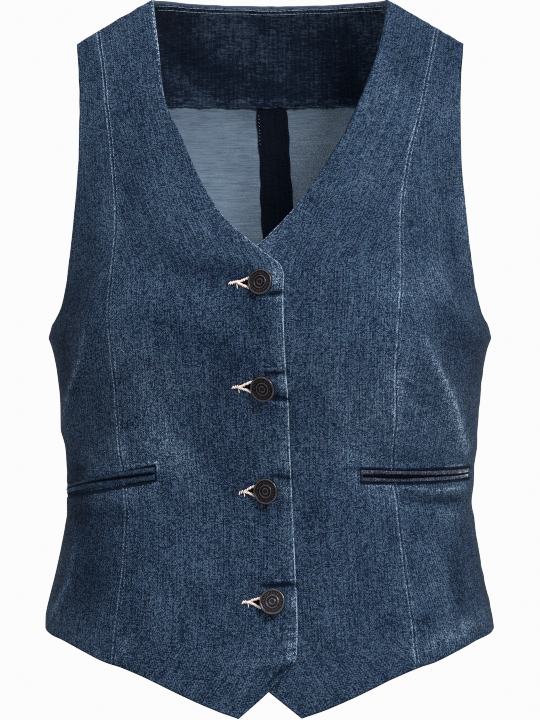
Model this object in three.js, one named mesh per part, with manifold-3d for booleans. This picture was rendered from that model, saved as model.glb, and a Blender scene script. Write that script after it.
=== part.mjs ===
// A fitted denim waistcoat in the form it takes when worn: V neck, four tack buttons, princess seams,
// two double-welt pockets and a pointed hem. Each cut piece is a wall of cloth of its own.
// Millimetres. +X is the wearer's left, -Y the front, +Z up. The origin is on the middle plane, at the
// height of the middle of the shoulders, which carry the garment. A "drop" is a distance down from the
// neck points, and an "angle" runs round the body, from 0 at the front through 90 at the side to 180.

import * as THREE from "three";
import { mergeVertices } from "three/addons/utils/BufferGeometryUtils.js";
import Module from "manifold-3d";

const NECK_POINT_Z = 17.5; // height of the neck points above the origin
const NECK_HALF = 91; // from the middle plane to a neck point
const SHOULDER_TIP = 151; // from the middle plane to the end of a shoulder seam
const SHOULDER_SLOPE = 0.611; // fall of the shoulder line for each millimetre outwards
const SHOULDER_ROUND = 40; // rounding of the shoulder line over the middle
const WALL = 1.6; // denim, its turned edges evened out over the panel
const SEAM_GAP = 0.3;
const SECTION_POWER = 2.4; // of the superellipse that each body section is
const FRONT_ROUND = { reach: 260, power: 1.5 }; // how the front falls forward from the shoulder line
const BACK_ROUND = { reach: 140, power: 1.6 };
const BUST = { x: 88, drop: 262, wide: 42, tall: 48, height: 5 };
const UNDERARM = { drop: 261, tall: 14, out: 3.8, power: 10 }; // the side stands out at the underarm
const BACK_HEM_DROP = 489.7;
const UNDERLAP = { sink: 2.4, full: 24, clear: 46 }; // the under front is pushed in behind the upper one

const SHOULDER_STEPS = [0, 1, 4, 8.5, 15]; // the first rows, close together over the rounded shoulder
const ROWS = 38; // down each panel
const NECK_ROWS = 16; // of them, down to the foot of the V
const ARMHOLE_ROWS = 20; // of them, down to the underarm
const CUTAWAY_ROWS = 3; // of them, across the cut-away corner at the hem
const FRONT_COLUMNS = 12;
const SIDE_COLUMNS = 9;
const NECK_COLUMNS = 9; // across a back half, under the neck
const SHOULDER_COLUMNS = 5; // across a back half, under the shoulder

const FACING = { top: 0.2, drop: 78, inset: 6, gap: 0.6, wall: 1, rows: 6, columns: 24, step: 8 };
const ALLOWANCE = { wide: 12, top: 80, gap: 0.5, wall: 1, part: 0.4 };
const WELT = { lift: 0.6, wall: 1.2, part: 0.6, gape: 1.4, columns: 14 };

const BUTTON = {
  radius: 10,
  cap: 2.9, // thickness
  standOff: 5.4, // from the under front to the back of the cap
  stem: 2.2,
  flange: 3.3,
  post: 1.2,
  tack: 4, // the head of the tack, inside
  tackHead: 1,
  gap: 0.6,
  chamfer: 0.7,
  groove: 0.5, // how far the face is sunk inside its rim
};
const BUTTON_SIDES = 14;
const EYELET = { radius: 4.1, depth: 14, sides: 12 };
const POST_HOLE = { radius: 1.6, depth: 14, sides: 8 };

const COLOURS = { denim: 0x2f4666, facing: 0x141b2c, welt: 0x33496a, button: 0x3a332e };

// Turns rows of numbers into records whose fields are the named columns.
function table(columns, rows) {
  const names = columns.split(" ");
  return rows.map((row) => Object.fromEntries(names.map((name, i) => [name, row[i]])));
}

// Body sections, from above the neck points to below the front points.
const SECTIONS = table("drop half front back", [
  [-40, 165, 108, 98],
  [150, 166, 111, 98],
  [200, 167.4, 117.5, 97],
  [232, 168.4, 123.5, 94.5],
  [261, 168.2, 126.8, 92],
  [278, 166.8, 126.2, 90.2],
  [295, 164.8, 123.2, 87.8],
  [312, 162.7, 118.6, 84.3],
  [334, 160.6, 112.1, 79.5],
  [361, 158.5, 105.6, 74.5],
  [378, 158, 103.4, 73],
  [404, 158.5, 103.6, 75.5],
  [443, 165, 108.3, 85.5],
  [489, 174, 115, 100],
  [560, 176, 115.5, 101],
]);

const NECK_EDGE_RIGHT = table("x drop", [
  [-91, 0],
  [-86.3, 37.5],
  [-80.1, 82.7],
  [-67.5, 111],
  [-54.1, 142],
  [-37.3, 169.6],
  [-18.5, 188.3],
  [0, 203.2],
  [7.5, 208.8],
  [10.7, 216.5],
]);
const NECK_EDGE_LEFT = table("x drop", [
  [91, 0],
  [85.4, 33.5],
  [73.9, 67.9],
  [59.6, 101.6],
  [46.6, 124.6],
  [25.4, 156.8],
  [0, 184.9],
  [-17, 200],
  [-22, 206.5],
  [-23.5, 214],
]);
const FRONT_EDGE_RIGHT = table("x drop", [
  [10.7, 216.5],
  [10, 235],
  [11, 272],
  [13.7, 312],
  [15.4, 357],
  [17.6, 403],
  [20.2, 460],
  [20.8, 485],
  [19.8, 507.5],
]);
const FRONT_EDGE_LEFT = table("x drop", [
  [-23.5, 214],
  [-23.5, 360],
  [-22, 513],
]);
const CUTAWAY_RIGHT = table("x drop", [
  [19.8, 507.5],
  [-1.2, 530.3],
  [-23.5, 550.3],
]);
const CUTAWAY_LEFT = table("x drop", [
  [-22, 513],
  [-1.2, 530.2],
  [24, 550.4],
]);
const PRINCESS_RIGHT = table("x drop", [
  [-134, shoulderDrop(134)],
  [-128.4, 58],
  [-124.4, 95],
  [-120.2, 130],
  [-117, 175],
  [-118.8, 205],
  [-121.8, 245],
  [-119, 278],
  [-115.8, 325],
  [-110.5, 370],
  [-109, 395],
  [-112.8, 458],
  [-118.6, 511.8],
]);
const PRINCESS_LEFT = table("x drop", [
  [130, shoulderDrop(130)],
  [121.9, 60],
  [114.9, 92],
  [107.8, 118],
  [102.5, 145],
  [99.6, 175],
  [99.6, 215],
  [97.2, 250],
  [95, 290],
  [95.2, 325],
  [93.4, 370],
  [98, 400],
  [106.5, 471],
  [111.3, 514.1],
]);
const ARMHOLE_FRONT = table("x drop", [
  [151, shoulderDrop(SHOULDER_TIP)],
  [148.5, 64],
  [147.4, 90],
  [148, 126],
  [150.5, 163],
  [155.4, 211],
  [158.3, 229],
  [160.8, 240],
  [165.2, 250],
]);
const ARMHOLE_BACK = table("x drop", [
  [151, shoulderDrop(SHOULDER_TIP)],
  [146.5, 62],
  [143.5, 95],
  [142.5, 130],
  [144, 165],
  [147.5, 195],
  [153, 222],
  [159, 240],
  [164.5, 252],
]);
const HEM = table("x drop", [
  [24, 550.4],
  [39.5, 545],
  [64.5, 534.5],
  [92, 521.7],
  [112.7, 513.6],
  [125.5, 509.8],
  [156, 496.5],
  [170, 492],
  [174.5, BACK_HEM_DROP],
]);
const SIDE_SEAM_RIGHT = table("angle drop", [
  [91.5, UNDERARM.drop],
  [95, 300],
  [98, 360],
  [98, 420],
  [92, BACK_HEM_DROP],
]);
const SIDE_SEAM_LEFT = table("angle drop", [
  [91, UNDERARM.drop],
  [89, 300],
  [85.5, 348],
  [83.5, 375],
  [84.5, 405],
  [88, 445],
  [91.5, BACK_HEM_DROP],
]);
const CENTRE_BACK = table("x drop", [
  [1, 0],
  [2, 80],
  [6, 177],
  [6.5, 260],
  [3, 378],
  [0, BACK_HEM_DROP],
]);

// The largest folds: a soft ridge, or a trough where the height is below 0, along a line on the front.
const FOLDS = table("x0 drop0 x1 drop1 wide height", [
  [-139, 258, -158, 334, 9, 2.6],
  [114, 262, 150, 348, 9, 2.6],
  [-149, 424, -168, 478, 9, 2],
  [152, 438, 155, 470, 8, -1.6],
  [108, 388, 154, 391, 7, -1.6],
  [-75, 300, -140, 330, 16, -1.4],
  [40, 330, 96, 352, 16, -1.3],
  [-30, 402, -96, 392, 15, -1.2],
]);

const WELTS = table("side innerX innerDrop outerAngle outerDrop innerLip outerLip gape", [
  [-1, -87.3, 361, 88, 377.8, 5.8, 4.4, 0],
  [1, 69.2, 362.6, 75, 364, 5.2, 4.4, 1],
]);

// Buttons: the cap's middle, how far it is turned towards the wearer's right, and the buttonhole's tip.
const BUTTONS = table("x drop turn tipX tipDrop", [
  [-6.4, 223.8, 25, -22.9, 222.8],
  [-4.6, 301.2, 25, -21.5, 301],
  [-2.2, 379.5, 25, -17.7, 379.8],
  [2.5, 463.2, 15, -14.7, 463],
]);

const wasm = await Module();
wasm.setup();

// Drop of the shoulder line at a distance from the middle plane.
function shoulderDrop(x) {
  return SHOULDER_SLOPE * (Math.hypot(x, SHOULDER_ROUND) - Math.hypot(NECK_HALF, SHOULDER_ROUND));
}

// A column of a table as a smooth function of another column, which rises down the table.
function smooth(rows, from, to) {
  const slope = rows.map((row, i) => {
    const before = rows[Math.max(i - 1, 0)];
    const after = rows[Math.min(i + 1, rows.length - 1)];
    return (after[to] - before[to]) / (after[from] - before[from]);
  });
  return (value) => {
    const v = THREE.MathUtils.clamp(value, rows[0][from], rows.at(-1)[from]);
    const i = Math.min(rows.findLastIndex((row) => row[from] <= v), rows.length - 2);
    const step = rows[i + 1][from] - rows[i][from];
    const t = (v - rows[i][from]) / step;
    const rise = t * t * (3 - 2 * t);
    const bend = t * (1 - t) * step * ((1 - t) * slope[i] - t * slope[i + 1]);
    return rows[i][to] * (1 - rise) + rows[i + 1][to] * rise + bend;
  };
}

const halfWidth = smooth(SECTIONS, "drop", "half");
const frontDepth = smooth(SECTIONS, "drop", "front");
const backDepth = smooth(SECTIONS, "drop", "back");
const hemDrop = smooth(HEM, "x", "drop");
const centreBackX = smooth(CENTRE_BACK, "drop", "x");

// Share of the full depth that a body section has, at a distance down from the shoulder line.
function fall({ reach, power }, below) {
  const t = THREE.MathUtils.clamp(below / reach, 0, 1);
  return (1 - (1 - t) ** power) ** (1 / power);
}

// A point of the garment's smooth outer form. side is 1 on the wearer's left and -1 on the right.
function form(side, angle, drop) {
  const a = THREE.MathUtils.degToRad(angle);
  const across = Math.abs(Math.sin(a));
  const flare = UNDERARM.out * Math.exp(-(((drop - UNDERARM.drop) / UNDERARM.tall) ** 2));
  const x = side * (halfWidth(drop) + flare * across ** UNDERARM.power) * Math.sin(a);
  const round = (1 - across ** SECTION_POWER) ** (1 / SECTION_POWER);
  const below = drop - shoulderDrop(x);
  const front = Math.cos(a) >= 0;
  const u = (Math.abs(x) - BUST.x) / BUST.wide;
  const v = (drop - BUST.drop) / BUST.tall;
  const bust = BUST.height * Math.exp(-u * u - v * v);
  const y = front
    ? -(frontDepth(drop) + bust) * round * fall(FRONT_ROUND, below)
    : backDepth(drop) * round * fall(BACK_ROUND, below);
  return new THREE.Vector3(x, y, NECK_POINT_Z - drop);
}

// The outward normal of the form. On the shoulder line it has no part to the front or back.
function normal(side, angle, drop) {
  const probe = { angle: 0.2, drop: 0.5, line: 0.05 };
  const here = form(side, angle, drop);
  const round = form(side, angle + probe.angle, drop).sub(form(side, angle - probe.angle, drop));
  const down = form(side, angle, drop + probe.drop).sub(here);
  const n = down.cross(round).multiplyScalar(side).normalize();
  if (drop - shoulderDrop(here.x) < probe.line) n.setY(0).normalize();
  return n;
}

// Height of the folds at a point of the front.
function foldHeight(x, drop) {
  let height = 0;
  for (const fold of FOLDS) {
    const along = new THREE.Line3(
      new THREE.Vector3(fold.x0, fold.drop0, 0),
      new THREE.Vector3(fold.x1, fold.drop1, 0),
    );
    const here = new THREE.Vector3(x, drop, 0);
    const t = along.closestPointToPointParameter(here, true);
    const away = along.at(t, new THREE.Vector3()).distanceTo(here) / fold.wide;
    height += fold.height * Math.exp(-away * away);
  }
  return height;
}

// The folded outer surface, moved out by lift along its normal.
function surface(side, angle, drop, lift = 0) {
  const point = form(side, angle, drop);
  const folds = Math.cos(THREE.MathUtils.degToRad(angle)) > 0 ? foldHeight(point.x, drop) : 0;
  return point.addScaledVector(normal(side, angle, drop), folds + lift);
}

function frontAngle(side, x, drop) {
  return THREE.MathUtils.radToDeg(Math.asin(THREE.MathUtils.clamp((side * x) / halfWidth(drop), -1, 1)));
}

function backAngle(side, x, drop) {
  return 180 - frontAngle(side, x, drop);
}

const DEGREE_LENGTH = 2.4; // of a degree round the body, for spacing points along a line
const WELD_DISTANCE = 1e-4;

const even = (t) => t;
const towardsEnd = (t) => 1 - (1 - t) ** 1.5;
const slowingToEnd = (t) => (t + Math.sin((Math.PI * t) / 2)) / 2;

function shares(count, spacing) {
  return Array.from({ length: count + 1 }, (_, i) => spacing(i / count));
}

// Distances down a line from the shoulder: the close first rows, then the rest as spacing puts them.
function fromShoulder(count, length, spacing = even) {
  const first = SHOULDER_STEPS.at(-1);
  const rest = shares(count - SHOULDER_STEPS.length + 1, spacing).slice(1);
  return [...SHOULDER_STEPS, ...rest.map((t) => first + (length - first) * t)];
}

// Places down a table's line, as { angle, drop }, close together at the top of one from the shoulder.
function along(rows, count, angleOf, { shoulder = false, spacing = even } = {}) {
  const line = new THREE.SplineCurve(
    rows.map((row) => new THREE.Vector2(angleOf(row) * DEGREE_LENGTH, row.drop)),
  );
  const length = line.getLength();
  const steps = shoulder
    ? fromShoulder(count, length, spacing).map((step) => step / length)
    : shares(count, spacing);
  return steps.map((share) => {
    const p = line.getPointAt(share);
    return { angle: p.x / DEGREE_LENGTH, drop: p.y };
  });
}

// Joins stretches end to end, each starting where the one before it stops.
function chain(...stretches) {
  return stretches.flatMap((stretch, i) => (i ? stretch.slice(1) : stretch));
}

// Moves a seam line round the body by half the seam's gap, towards the side when way is 1.
function besideSeam(side, line, way) {
  return line.map(({ angle, drop }) => {
    const perDegree = form(side, angle + 0.5, drop).distanceTo(form(side, angle - 0.5, drop));
    return { angle: angle + (way * SEAM_GAP) / 2 / perDegree, drop };
  });
}

// A panel's places, from its inner and outer edges and the lines across its top and foot.
function patch(inner, outer, top, foot) {
  const rows = inner.length - 1;
  const columns = top.length - 1;
  const mix = (p, q, t, key) => p[key] * (1 - t) + q[key] * t;
  return inner.map((left, k) =>
    top.map((_, j) => {
      const u = j / columns;
      const v = k / rows;
      const place = {};
      for (const key of ["angle", "drop"]) {
        const bentTop = top[j][key] - mix(top[0], top[columns], u, key);
        const bentFoot = foot[j][key] - mix(foot[0], foot[columns], u, key);
        place[key] = mix(left, outer[k], u, key) + (1 - v) * bentTop + v * bentFoot;
      }
      return place;
    }),
  );
}

// A line straight across from one place to another, at the drop that dropOf gives for its x.
function across(side, from, to, columns, angleOf, dropOf, spacing = even) {
  return shares(columns, spacing).map((t) => {
    const start = form(side, from.angle, from.drop).x;
    const stop = form(side, to.angle, to.drop).x;
    const x = start + (stop - start) * t;
    const drop = t === 0 ? from.drop : t === 1 ? to.drop : dropOf(x);
    return { angle: t === 0 ? from.angle : t === 1 ? to.angle : angleOf(side, x, drop), drop };
  });
}

// A closed wall between two grids of points, of which the first is on the outside.
function wallBetween(outside, inside, flip) {
  const rows = outside.length;
  const columns = outside[0].length;
  const at = (k, j) => k * columns + j;
  const behind = rows * columns;
  const faces = [];
  for (let k = 0; k < rows - 1; k++)
    for (let j = 0; j < columns - 1; j++) {
      const [a, b, c, d] = [at(k, j), at(k, j + 1), at(k + 1, j), at(k + 1, j + 1)];
      faces.push([a, c, b], [b, c, d]);
      faces.push([a + behind, b + behind, c + behind], [b + behind, d + behind, c + behind]);
    }
  const rim = [];
  for (let j = columns - 1; j > 0; j--) rim.push(at(0, j));
  for (let k = 0; k < rows - 1; k++) rim.push(at(k, 0));
  for (let j = 0; j < columns - 1; j++) rim.push(at(rows - 1, j));
  for (let k = rows - 1; k > 0; k--) rim.push(at(k, columns - 1));
  rim.forEach((i, n) => {
    const next = rim[(n + 1) % rim.length];
    faces.push([next, i, i + behind], [next, i + behind, next + behind]);
  });
  const geometry = new THREE.BufferGeometry();
  const points = [...outside.flat(), ...inside.flat()];
  geometry.setFromPoints(points);
  geometry.setIndex(faces.flatMap(([a, b, c]) => (flip ? [a, c, b] : [a, b, c])));
  return geometry;
}

// A wall of cloth over a patch. liftOf gives how far out its outer face is, and shift moves the whole.
function cloth(side, places, { wall = WALL, liftOf = () => 0, shift = new THREE.Vector3() } = {}) {
  const layer = (depth) =>
    places.map((row) =>
      row.map(({ angle, drop }) => {
        const x = form(side, angle, drop).x;
        return surface(side, angle, drop, liftOf(x, drop) - depth).add(shift);
      }),
    );
  const backwards = places[0][0].angle > places[0].at(-1).angle;
  return wallBetween(layer(0), layer(wall), side < 0 !== backwards);
}

function princessLine(side) {
  const rows = side < 0 ? PRINCESS_RIGHT : PRINCESS_LEFT;
  return along(rows, ROWS, (row) => frontAngle(side, row.x, row.drop), { shoulder: true });
}

function sideSeamLine(side) {
  const rows = side < 0 ? SIDE_SEAM_RIGHT : SIDE_SEAM_LEFT;
  return along(rows, ROWS - ARMHOLE_ROWS, (row) => row.angle);
}

// The armhole's edge and the side seam below it, on the front or the back.
function outerLine(side, armhole, angleOf) {
  const seam = sideSeamLine(side);
  const rows = armhole.map((row) => ({ angle: angleOf(side, side * row.x, row.drop), drop: row.drop }));
  const edge = along([...rows, seam[0]], ARMHOLE_ROWS, (row) => row.angle, {
    shoulder: true,
    spacing: slowingToEnd,
  });
  return chain(edge, seam);
}

function frontCentrePlaces(side) {
  const right = side < 0;
  const angleOf = (row) => frontAngle(side, row.x, row.drop);
  const edgeRows = ROWS - NECK_ROWS - CUTAWAY_ROWS;
  const inner = chain(
    along(right ? NECK_EDGE_RIGHT : NECK_EDGE_LEFT, NECK_ROWS, angleOf, { shoulder: true }),
    along(right ? FRONT_EDGE_RIGHT : FRONT_EDGE_LEFT, edgeRows, angleOf),
    along(right ? CUTAWAY_RIGHT : CUTAWAY_LEFT, CUTAWAY_ROWS, angleOf),
  );
  const outer = besideSeam(side, princessLine(side), -1);
  const top = across(side, inner[0], outer[0], FRONT_COLUMNS, frontAngle, shoulderDrop);
  const hemAt = (x) => hemDrop(Math.abs(x));
  const foot = across(side, inner[ROWS], outer[ROWS], FRONT_COLUMNS, frontAngle, hemAt);
  return patch(inner, outer, top, foot);
}

function frontSidePlaces(side) {
  const inner = besideSeam(side, princessLine(side), 1);
  const outer = outerLine(side, ARMHOLE_FRONT, frontAngle);
  const top = across(side, inner[0], outer[0], SIDE_COLUMNS, frontAngle, shoulderDrop);
  const foot = shares(SIDE_COLUMNS, even).map((t) => {
    const angle = inner[ROWS].angle * (1 - t) + outer[ROWS].angle * t;
    const x = halfWidth(BACK_HEM_DROP) * Math.sin(THREE.MathUtils.degToRad(Math.min(angle, 90)));
    const drop = t === 0 ? inner[ROWS].drop : hemDrop(x);
    return { angle, drop };
  });
  return patch(inner, outer, top, foot);
}

function centreBackDrops() {
  return fromShoulder(ROWS, BACK_HEM_DROP);
}

function backPlaces(side) {
  const inner = centreBackDrops().map((drop) => ({ angle: backAngle(side, centreBackX(drop), drop), drop }));
  const outer = outerLine(side, ARMHOLE_BACK, backAngle);
  const neckPoint = { angle: backAngle(side, side * NECK_HALF, 0), drop: 0 };
  const top = chain(
    across(side, inner[0], neckPoint, NECK_COLUMNS, backAngle, () => 0, towardsEnd),
    across(side, neckPoint, outer[0], SHOULDER_COLUMNS, backAngle, shoulderDrop),
  );
  const foot = top.map((_, j) => {
    const t = j / (top.length - 1);
    const angle = inner[ROWS].angle * (1 - t) + outer[ROWS].angle * t;
    return { angle, drop: BACK_HEM_DROP };
  });
  return patch(inner, outer, top, foot);
}

// The facing lies inside the back, from one armhole across the neck to the other.
function facingGeometry() {
  const backArmhole = smooth(ARMHOLE_BACK, "drop", "x");
  const startDrop = shoulderDrop(SHOULDER_TIP - FACING.inset) + FACING.step;
  const left = shares(FACING.rows, even).map((t) => {
    const drop = startDrop * (1 - t) + FACING.drop * t;
    return { angle: backAngle(1, backArmhole(drop) - FACING.inset, drop), drop };
  });
  const right = left.map(({ angle, drop }) => ({ angle: 360 - angle, drop }));
  const span = shares(FACING.columns, even);
  const top = span.map((t) => {
    const angle = left[0].angle * (1 - t) + right[0].angle * t;
    const x = halfWidth(0) * Math.sin(THREE.MathUtils.degToRad(angle));
    return { angle, drop: Math.max(FACING.top, shoulderDrop(x) + FACING.step) };
  });
  const foot = span.map((t) => ({
    angle: left.at(-1).angle * (1 - t) + right.at(-1).angle * t,
    drop: FACING.drop,
  }));
  top[0].drop = top[FACING.columns].drop = startDrop;
  return cloth(1, patch(left, right, top, foot), {
    wall: FACING.wall,
    liftOf: () => -WALL - FACING.gap,
    shift: new THREE.Vector3(0, SEAM_GAP / 2, 0),
  });
}

// One of the two flaps of cloth pressed open along the centre-back seam, inside the back.
function allowanceGeometry(side) {
  const below = centreBackDrops().filter((drop) => drop > ALLOWANCE.top && drop < BACK_HEM_DROP);
  const edge = (offset) =>
    [ALLOWANCE.top, ...below].map((drop) => ({
      angle: backAngle(side, centreBackX(drop) + side * offset, drop),
      drop,
    }));
  const [inner, outer] = [edge(ALLOWANCE.part), edge(ALLOWANCE.wide)];
  const places = inner.map((place, k) => [place, outer[k]]);
  return cloth(side, places, {
    wall: ALLOWANCE.wall,
    liftOf: () => -WALL - ALLOWANCE.gap,
    shift: new THREE.Vector3(0, SEAM_GAP / 2, 0),
  });
}

// One lip of a double welt. The lower lip lies under the mouth, which gapes a little where gape is 1.
function weltGeometry(welt, lower) {
  const line = (offsetOf) =>
    shares(WELT.columns, even).map((t) => {
      const angle = frontAngle(welt.side, welt.innerX, welt.innerDrop) * (1 - t) + welt.outerAngle * t;
      const lip = welt.innerLip * (1 - t) + welt.outerLip * t;
      const mouth = WELT.part + welt.gape * WELT.gape * Math.sin(Math.PI * t) ** 2;
      const drop = welt.innerDrop * (1 - t) + welt.outerDrop * t + offsetOf(lip, mouth);
      return { angle, drop };
    });
  const upper = (lip, mouth) => lip - mouth / 2;
  const places = lower
    ? [line((lip, mouth) => lip + mouth / 2), line((lip) => 2 * lip)]
    : [line(() => 0), line(upper)];
  return cloth(welt.side, places, { wall: WELT.wall, liftOf: () => WELT.lift + WELT.wall });
}

function solidOf(geometry) {
  const plain = new THREE.BufferGeometry();
  plain.setAttribute("position", geometry.getAttribute("position"));
  plain.setIndex(geometry.getIndex());
  const merged = mergeVertices(plain, WELD_DISTANCE);
  return new wasm.Manifold(
    new wasm.Mesh({
      numProp: 3,
      vertProperties: merged.getAttribute("position").array,
      triVerts: new Uint32Array(merged.getIndex().array),
    }),
  );
}

function geometryOf(solid) {
  const mesh = solid.getMesh();
  const geometry = new THREE.BufferGeometry();
  const count = mesh.vertProperties.length / mesh.numProp;
  const positions = new Float32Array(count * 3);
  for (let i = 0; i < count; i++)
    for (let c = 0; c < 3; c++) positions[3 * i + c] = mesh.vertProperties[i * mesh.numProp + c];
  geometry.setAttribute("position", new THREE.BufferAttribute(positions, 3));
  geometry.setIndex(new THREE.BufferAttribute(mesh.triVerts, 1));
  return geometry;
}

// Axes at a button: X to the wearer's right along the cloth, Y out of it, with the seat on the under front.
function buttonSeat(button) {
  const lean = BUTTON.standOff + BUTTON.cap / 4;
  const x = button.x + lean * Math.tan(THREE.MathUtils.degToRad(button.turn));
  const angle = frontAngle(1, x, button.drop);
  const out = normal(1, angle, button.drop);
  const toRight = new THREE.Vector3(-1, 0, 0).addScaledVector(out, out.x).normalize();
  const up = new THREE.Vector3().crossVectors(toRight, out);
  const seat = surface(1, angle, button.drop, -UNDERLAP.sink);
  return new THREE.Matrix4().makeBasis(toRight, out, up).setPosition(seat);
}

function lathe(profile, sides) {
  const points = profile.map(([r, s]) => new THREE.Vector2(r, s));
  return new THREE.LatheGeometry(points, sides);
}

// The post and its tack head, through the under front, with the flange that stands in the buttonhole.
function tackGeometry() {
  const behind = -WALL - BUTTON.gap;
  return lathe(
    [
      [0, behind - BUTTON.tackHead],
      [BUTTON.tack, behind - BUTTON.tackHead],
      [BUTTON.tack, behind],
      [BUTTON.post, behind],
      [BUTTON.post, BUTTON.gap],
      [BUTTON.flange, BUTTON.gap],
      [BUTTON.flange, UNDERLAP.sink],
      [0, UNDERLAP.sink],
    ],
    BUTTON_SIDES,
  );
}

// The stem and the cap, which has a raised rim and one raised ring on its face.
function capGeometry() {
  const root = UNDERLAP.sink * 0.8;
  const back = UNDERLAP.sink + BUTTON.standOff;
  const face = back + BUTTON.cap;
  const r = BUTTON.radius;
  return lathe(
    [
      [0, root],
      [BUTTON.stem, root],
      [BUTTON.stem, back],
      [r * 0.94, back],
      [r, back + BUTTON.chamfer],
      [r * 0.97, face - BUTTON.groove],
      [r * 0.91, face],
      [r * 0.84, face - BUTTON.groove],
      [r * 0.5, face - BUTTON.groove],
      [r * 0.46, face],
      [r * 0.4, face - BUTTON.groove],
      [0, face - BUTTON.groove / 2],
    ],
    BUTTON_SIDES,
  );
}

function buttonGeometry(button) {
  const seat = buttonSeat(button);
  const turn = new THREE.Matrix4().makeRotationZ(-THREE.MathUtils.degToRad(button.turn));
  const tack = tackGeometry().applyMatrix4(seat);
  const cap = capGeometry().applyMatrix4(seat.clone().multiply(turn));
  return geometryOf(solidOf(tack).add(solidOf(cap)));
}

// The opening that a buttonhole has round its button: a round eye that narrows to a tip.
function eyeletCutter(button) {
  const seat = buttonSeat(button);
  const tip = surface(1, frontAngle(1, button.tipX, button.tipDrop), button.tipDrop);
  const local = tip.applyMatrix4(seat.clone().invert());
  const length = Math.hypot(local.x, local.z);
  const tangent = Math.acos(EYELET.radius / length);
  const shape = new THREE.Shape();
  shape.absarc(0, 0, EYELET.radius, tangent, 2 * Math.PI - tangent, false);
  shape.lineTo(length, 0);
  const extruded = new THREE.ExtrudeGeometry(shape, {
    depth: EYELET.depth,
    bevelEnabled: false,
    curveSegments: EYELET.sides,
  });
  const upright = new THREE.Matrix4().makeRotationX(-Math.PI / 2);
  const aim = new THREE.Matrix4().makeRotationY(-Math.atan2(local.z, local.x));
  extruded.translate(0, 0, -EYELET.depth / 2).applyMatrix4(upright).applyMatrix4(aim).applyMatrix4(seat);
  return solidOf(extruded);
}

function postHoleCutter(button) {
  const { radius, depth, sides } = POST_HOLE;
  const drill = new THREE.CylinderGeometry(radius, radius, depth, sides);
  return solidOf(drill.applyMatrix4(buttonSeat(button)));
}

function frontCentreGeometry(side) {
  const right = side < 0;
  const { sink, full, clear } = UNDERLAP;
  const sunk = (x) => -sink * (1 - THREE.MathUtils.smoothstep(x, full, clear));
  const panel = cloth(side, frontCentrePlaces(side), {
    liftOf: right ? () => 0 : sunk,
    shift: new THREE.Vector3(0, -SEAM_GAP / 2, 0),
  });
  const cutters = BUTTONS.map(right ? eyeletCutter : postHoleCutter);
  return geometryOf(cutters.reduce((solid, cutter) => solid.subtract(cutter), solidOf(panel)));
}

function frontSideGeometry(side) {
  return cloth(side, frontSidePlaces(side), { shift: new THREE.Vector3(0, -SEAM_GAP / 2, 0) });
}

function backGeometry(side) {
  const shift = new THREE.Vector3((side * SEAM_GAP) / 2, SEAM_GAP / 2, 0);
  return cloth(side, backPlaces(side), { shift });
}

const vest = new THREE.Group();

function addPiece(name, geometry, color, roughness = 0.9, metalness = 0) {
  const flat = geometry.index ? geometry.toNonIndexed() : geometry;
  flat.computeVertexNormals();
  const material = new THREE.MeshStandardMaterial({ color, roughness, metalness });
  const mesh = new THREE.Mesh(flat, material);
  mesh.name = name;
  vest.add(mesh);
}

for (const [name, side] of [["right", -1], ["left", 1]]) {
  const welt = WELTS.find((row) => row.side === side);
  addPiece("front_centre_" + name, frontCentreGeometry(side), COLOURS.denim);
  addPiece("front_side_" + name, frontSideGeometry(side), COLOURS.denim);
  addPiece("back_" + name, backGeometry(side), COLOURS.denim);
  addPiece("back_seam_allowance_" + name, allowanceGeometry(side), COLOURS.facing);
  addPiece("welt_upper_" + name, weltGeometry(welt, false), COLOURS.welt);
  addPiece("welt_lower_" + name, weltGeometry(welt, true), COLOURS.welt);
}
addPiece("back_neck_facing", facingGeometry(), COLOURS.facing);
BUTTONS.forEach((button, i) => {
  addPiece("button_" + (i + 1), buttonGeometry(button), COLOURS.button, 0.45, 0.9);
});

export default vest;
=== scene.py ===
"""Looks of a fitted denim waistcoat, in the form that it takes when worn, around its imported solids.

Sizes are in millimetres, and become metres when a mesh is made. +X is the wearer's left, -Y the front,
+Z up. A "drop" is a distance down from the neck points. A "turn" is an angle round the body, in degrees:
0 at the front, 90 at the wearer's left side, 180 at the back and -90 or 270 at the right side.
"""

import itertools
import math

import bpy
import numpy as np
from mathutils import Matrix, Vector


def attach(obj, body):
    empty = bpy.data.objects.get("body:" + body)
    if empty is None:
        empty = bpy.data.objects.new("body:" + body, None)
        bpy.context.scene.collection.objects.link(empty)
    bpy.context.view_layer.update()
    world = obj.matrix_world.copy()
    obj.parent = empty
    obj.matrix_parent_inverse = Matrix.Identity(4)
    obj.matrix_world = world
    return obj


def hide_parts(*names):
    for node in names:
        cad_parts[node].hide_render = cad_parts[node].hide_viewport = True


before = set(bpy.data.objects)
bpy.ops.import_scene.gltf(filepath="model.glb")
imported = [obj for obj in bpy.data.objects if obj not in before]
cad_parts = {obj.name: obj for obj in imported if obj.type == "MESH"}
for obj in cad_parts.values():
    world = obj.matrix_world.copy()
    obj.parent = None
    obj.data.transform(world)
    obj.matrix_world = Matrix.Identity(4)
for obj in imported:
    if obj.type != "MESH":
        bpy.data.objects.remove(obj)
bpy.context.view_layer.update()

MM = 0.001


def table(columns, rows):
    """Rows of numbers as an array for each named column."""
    return {name: np.array([row[i] for row in rows], float) for i, name in enumerate(columns.split())}


# The form of the body and the lines on it, as in the part's source.

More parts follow.
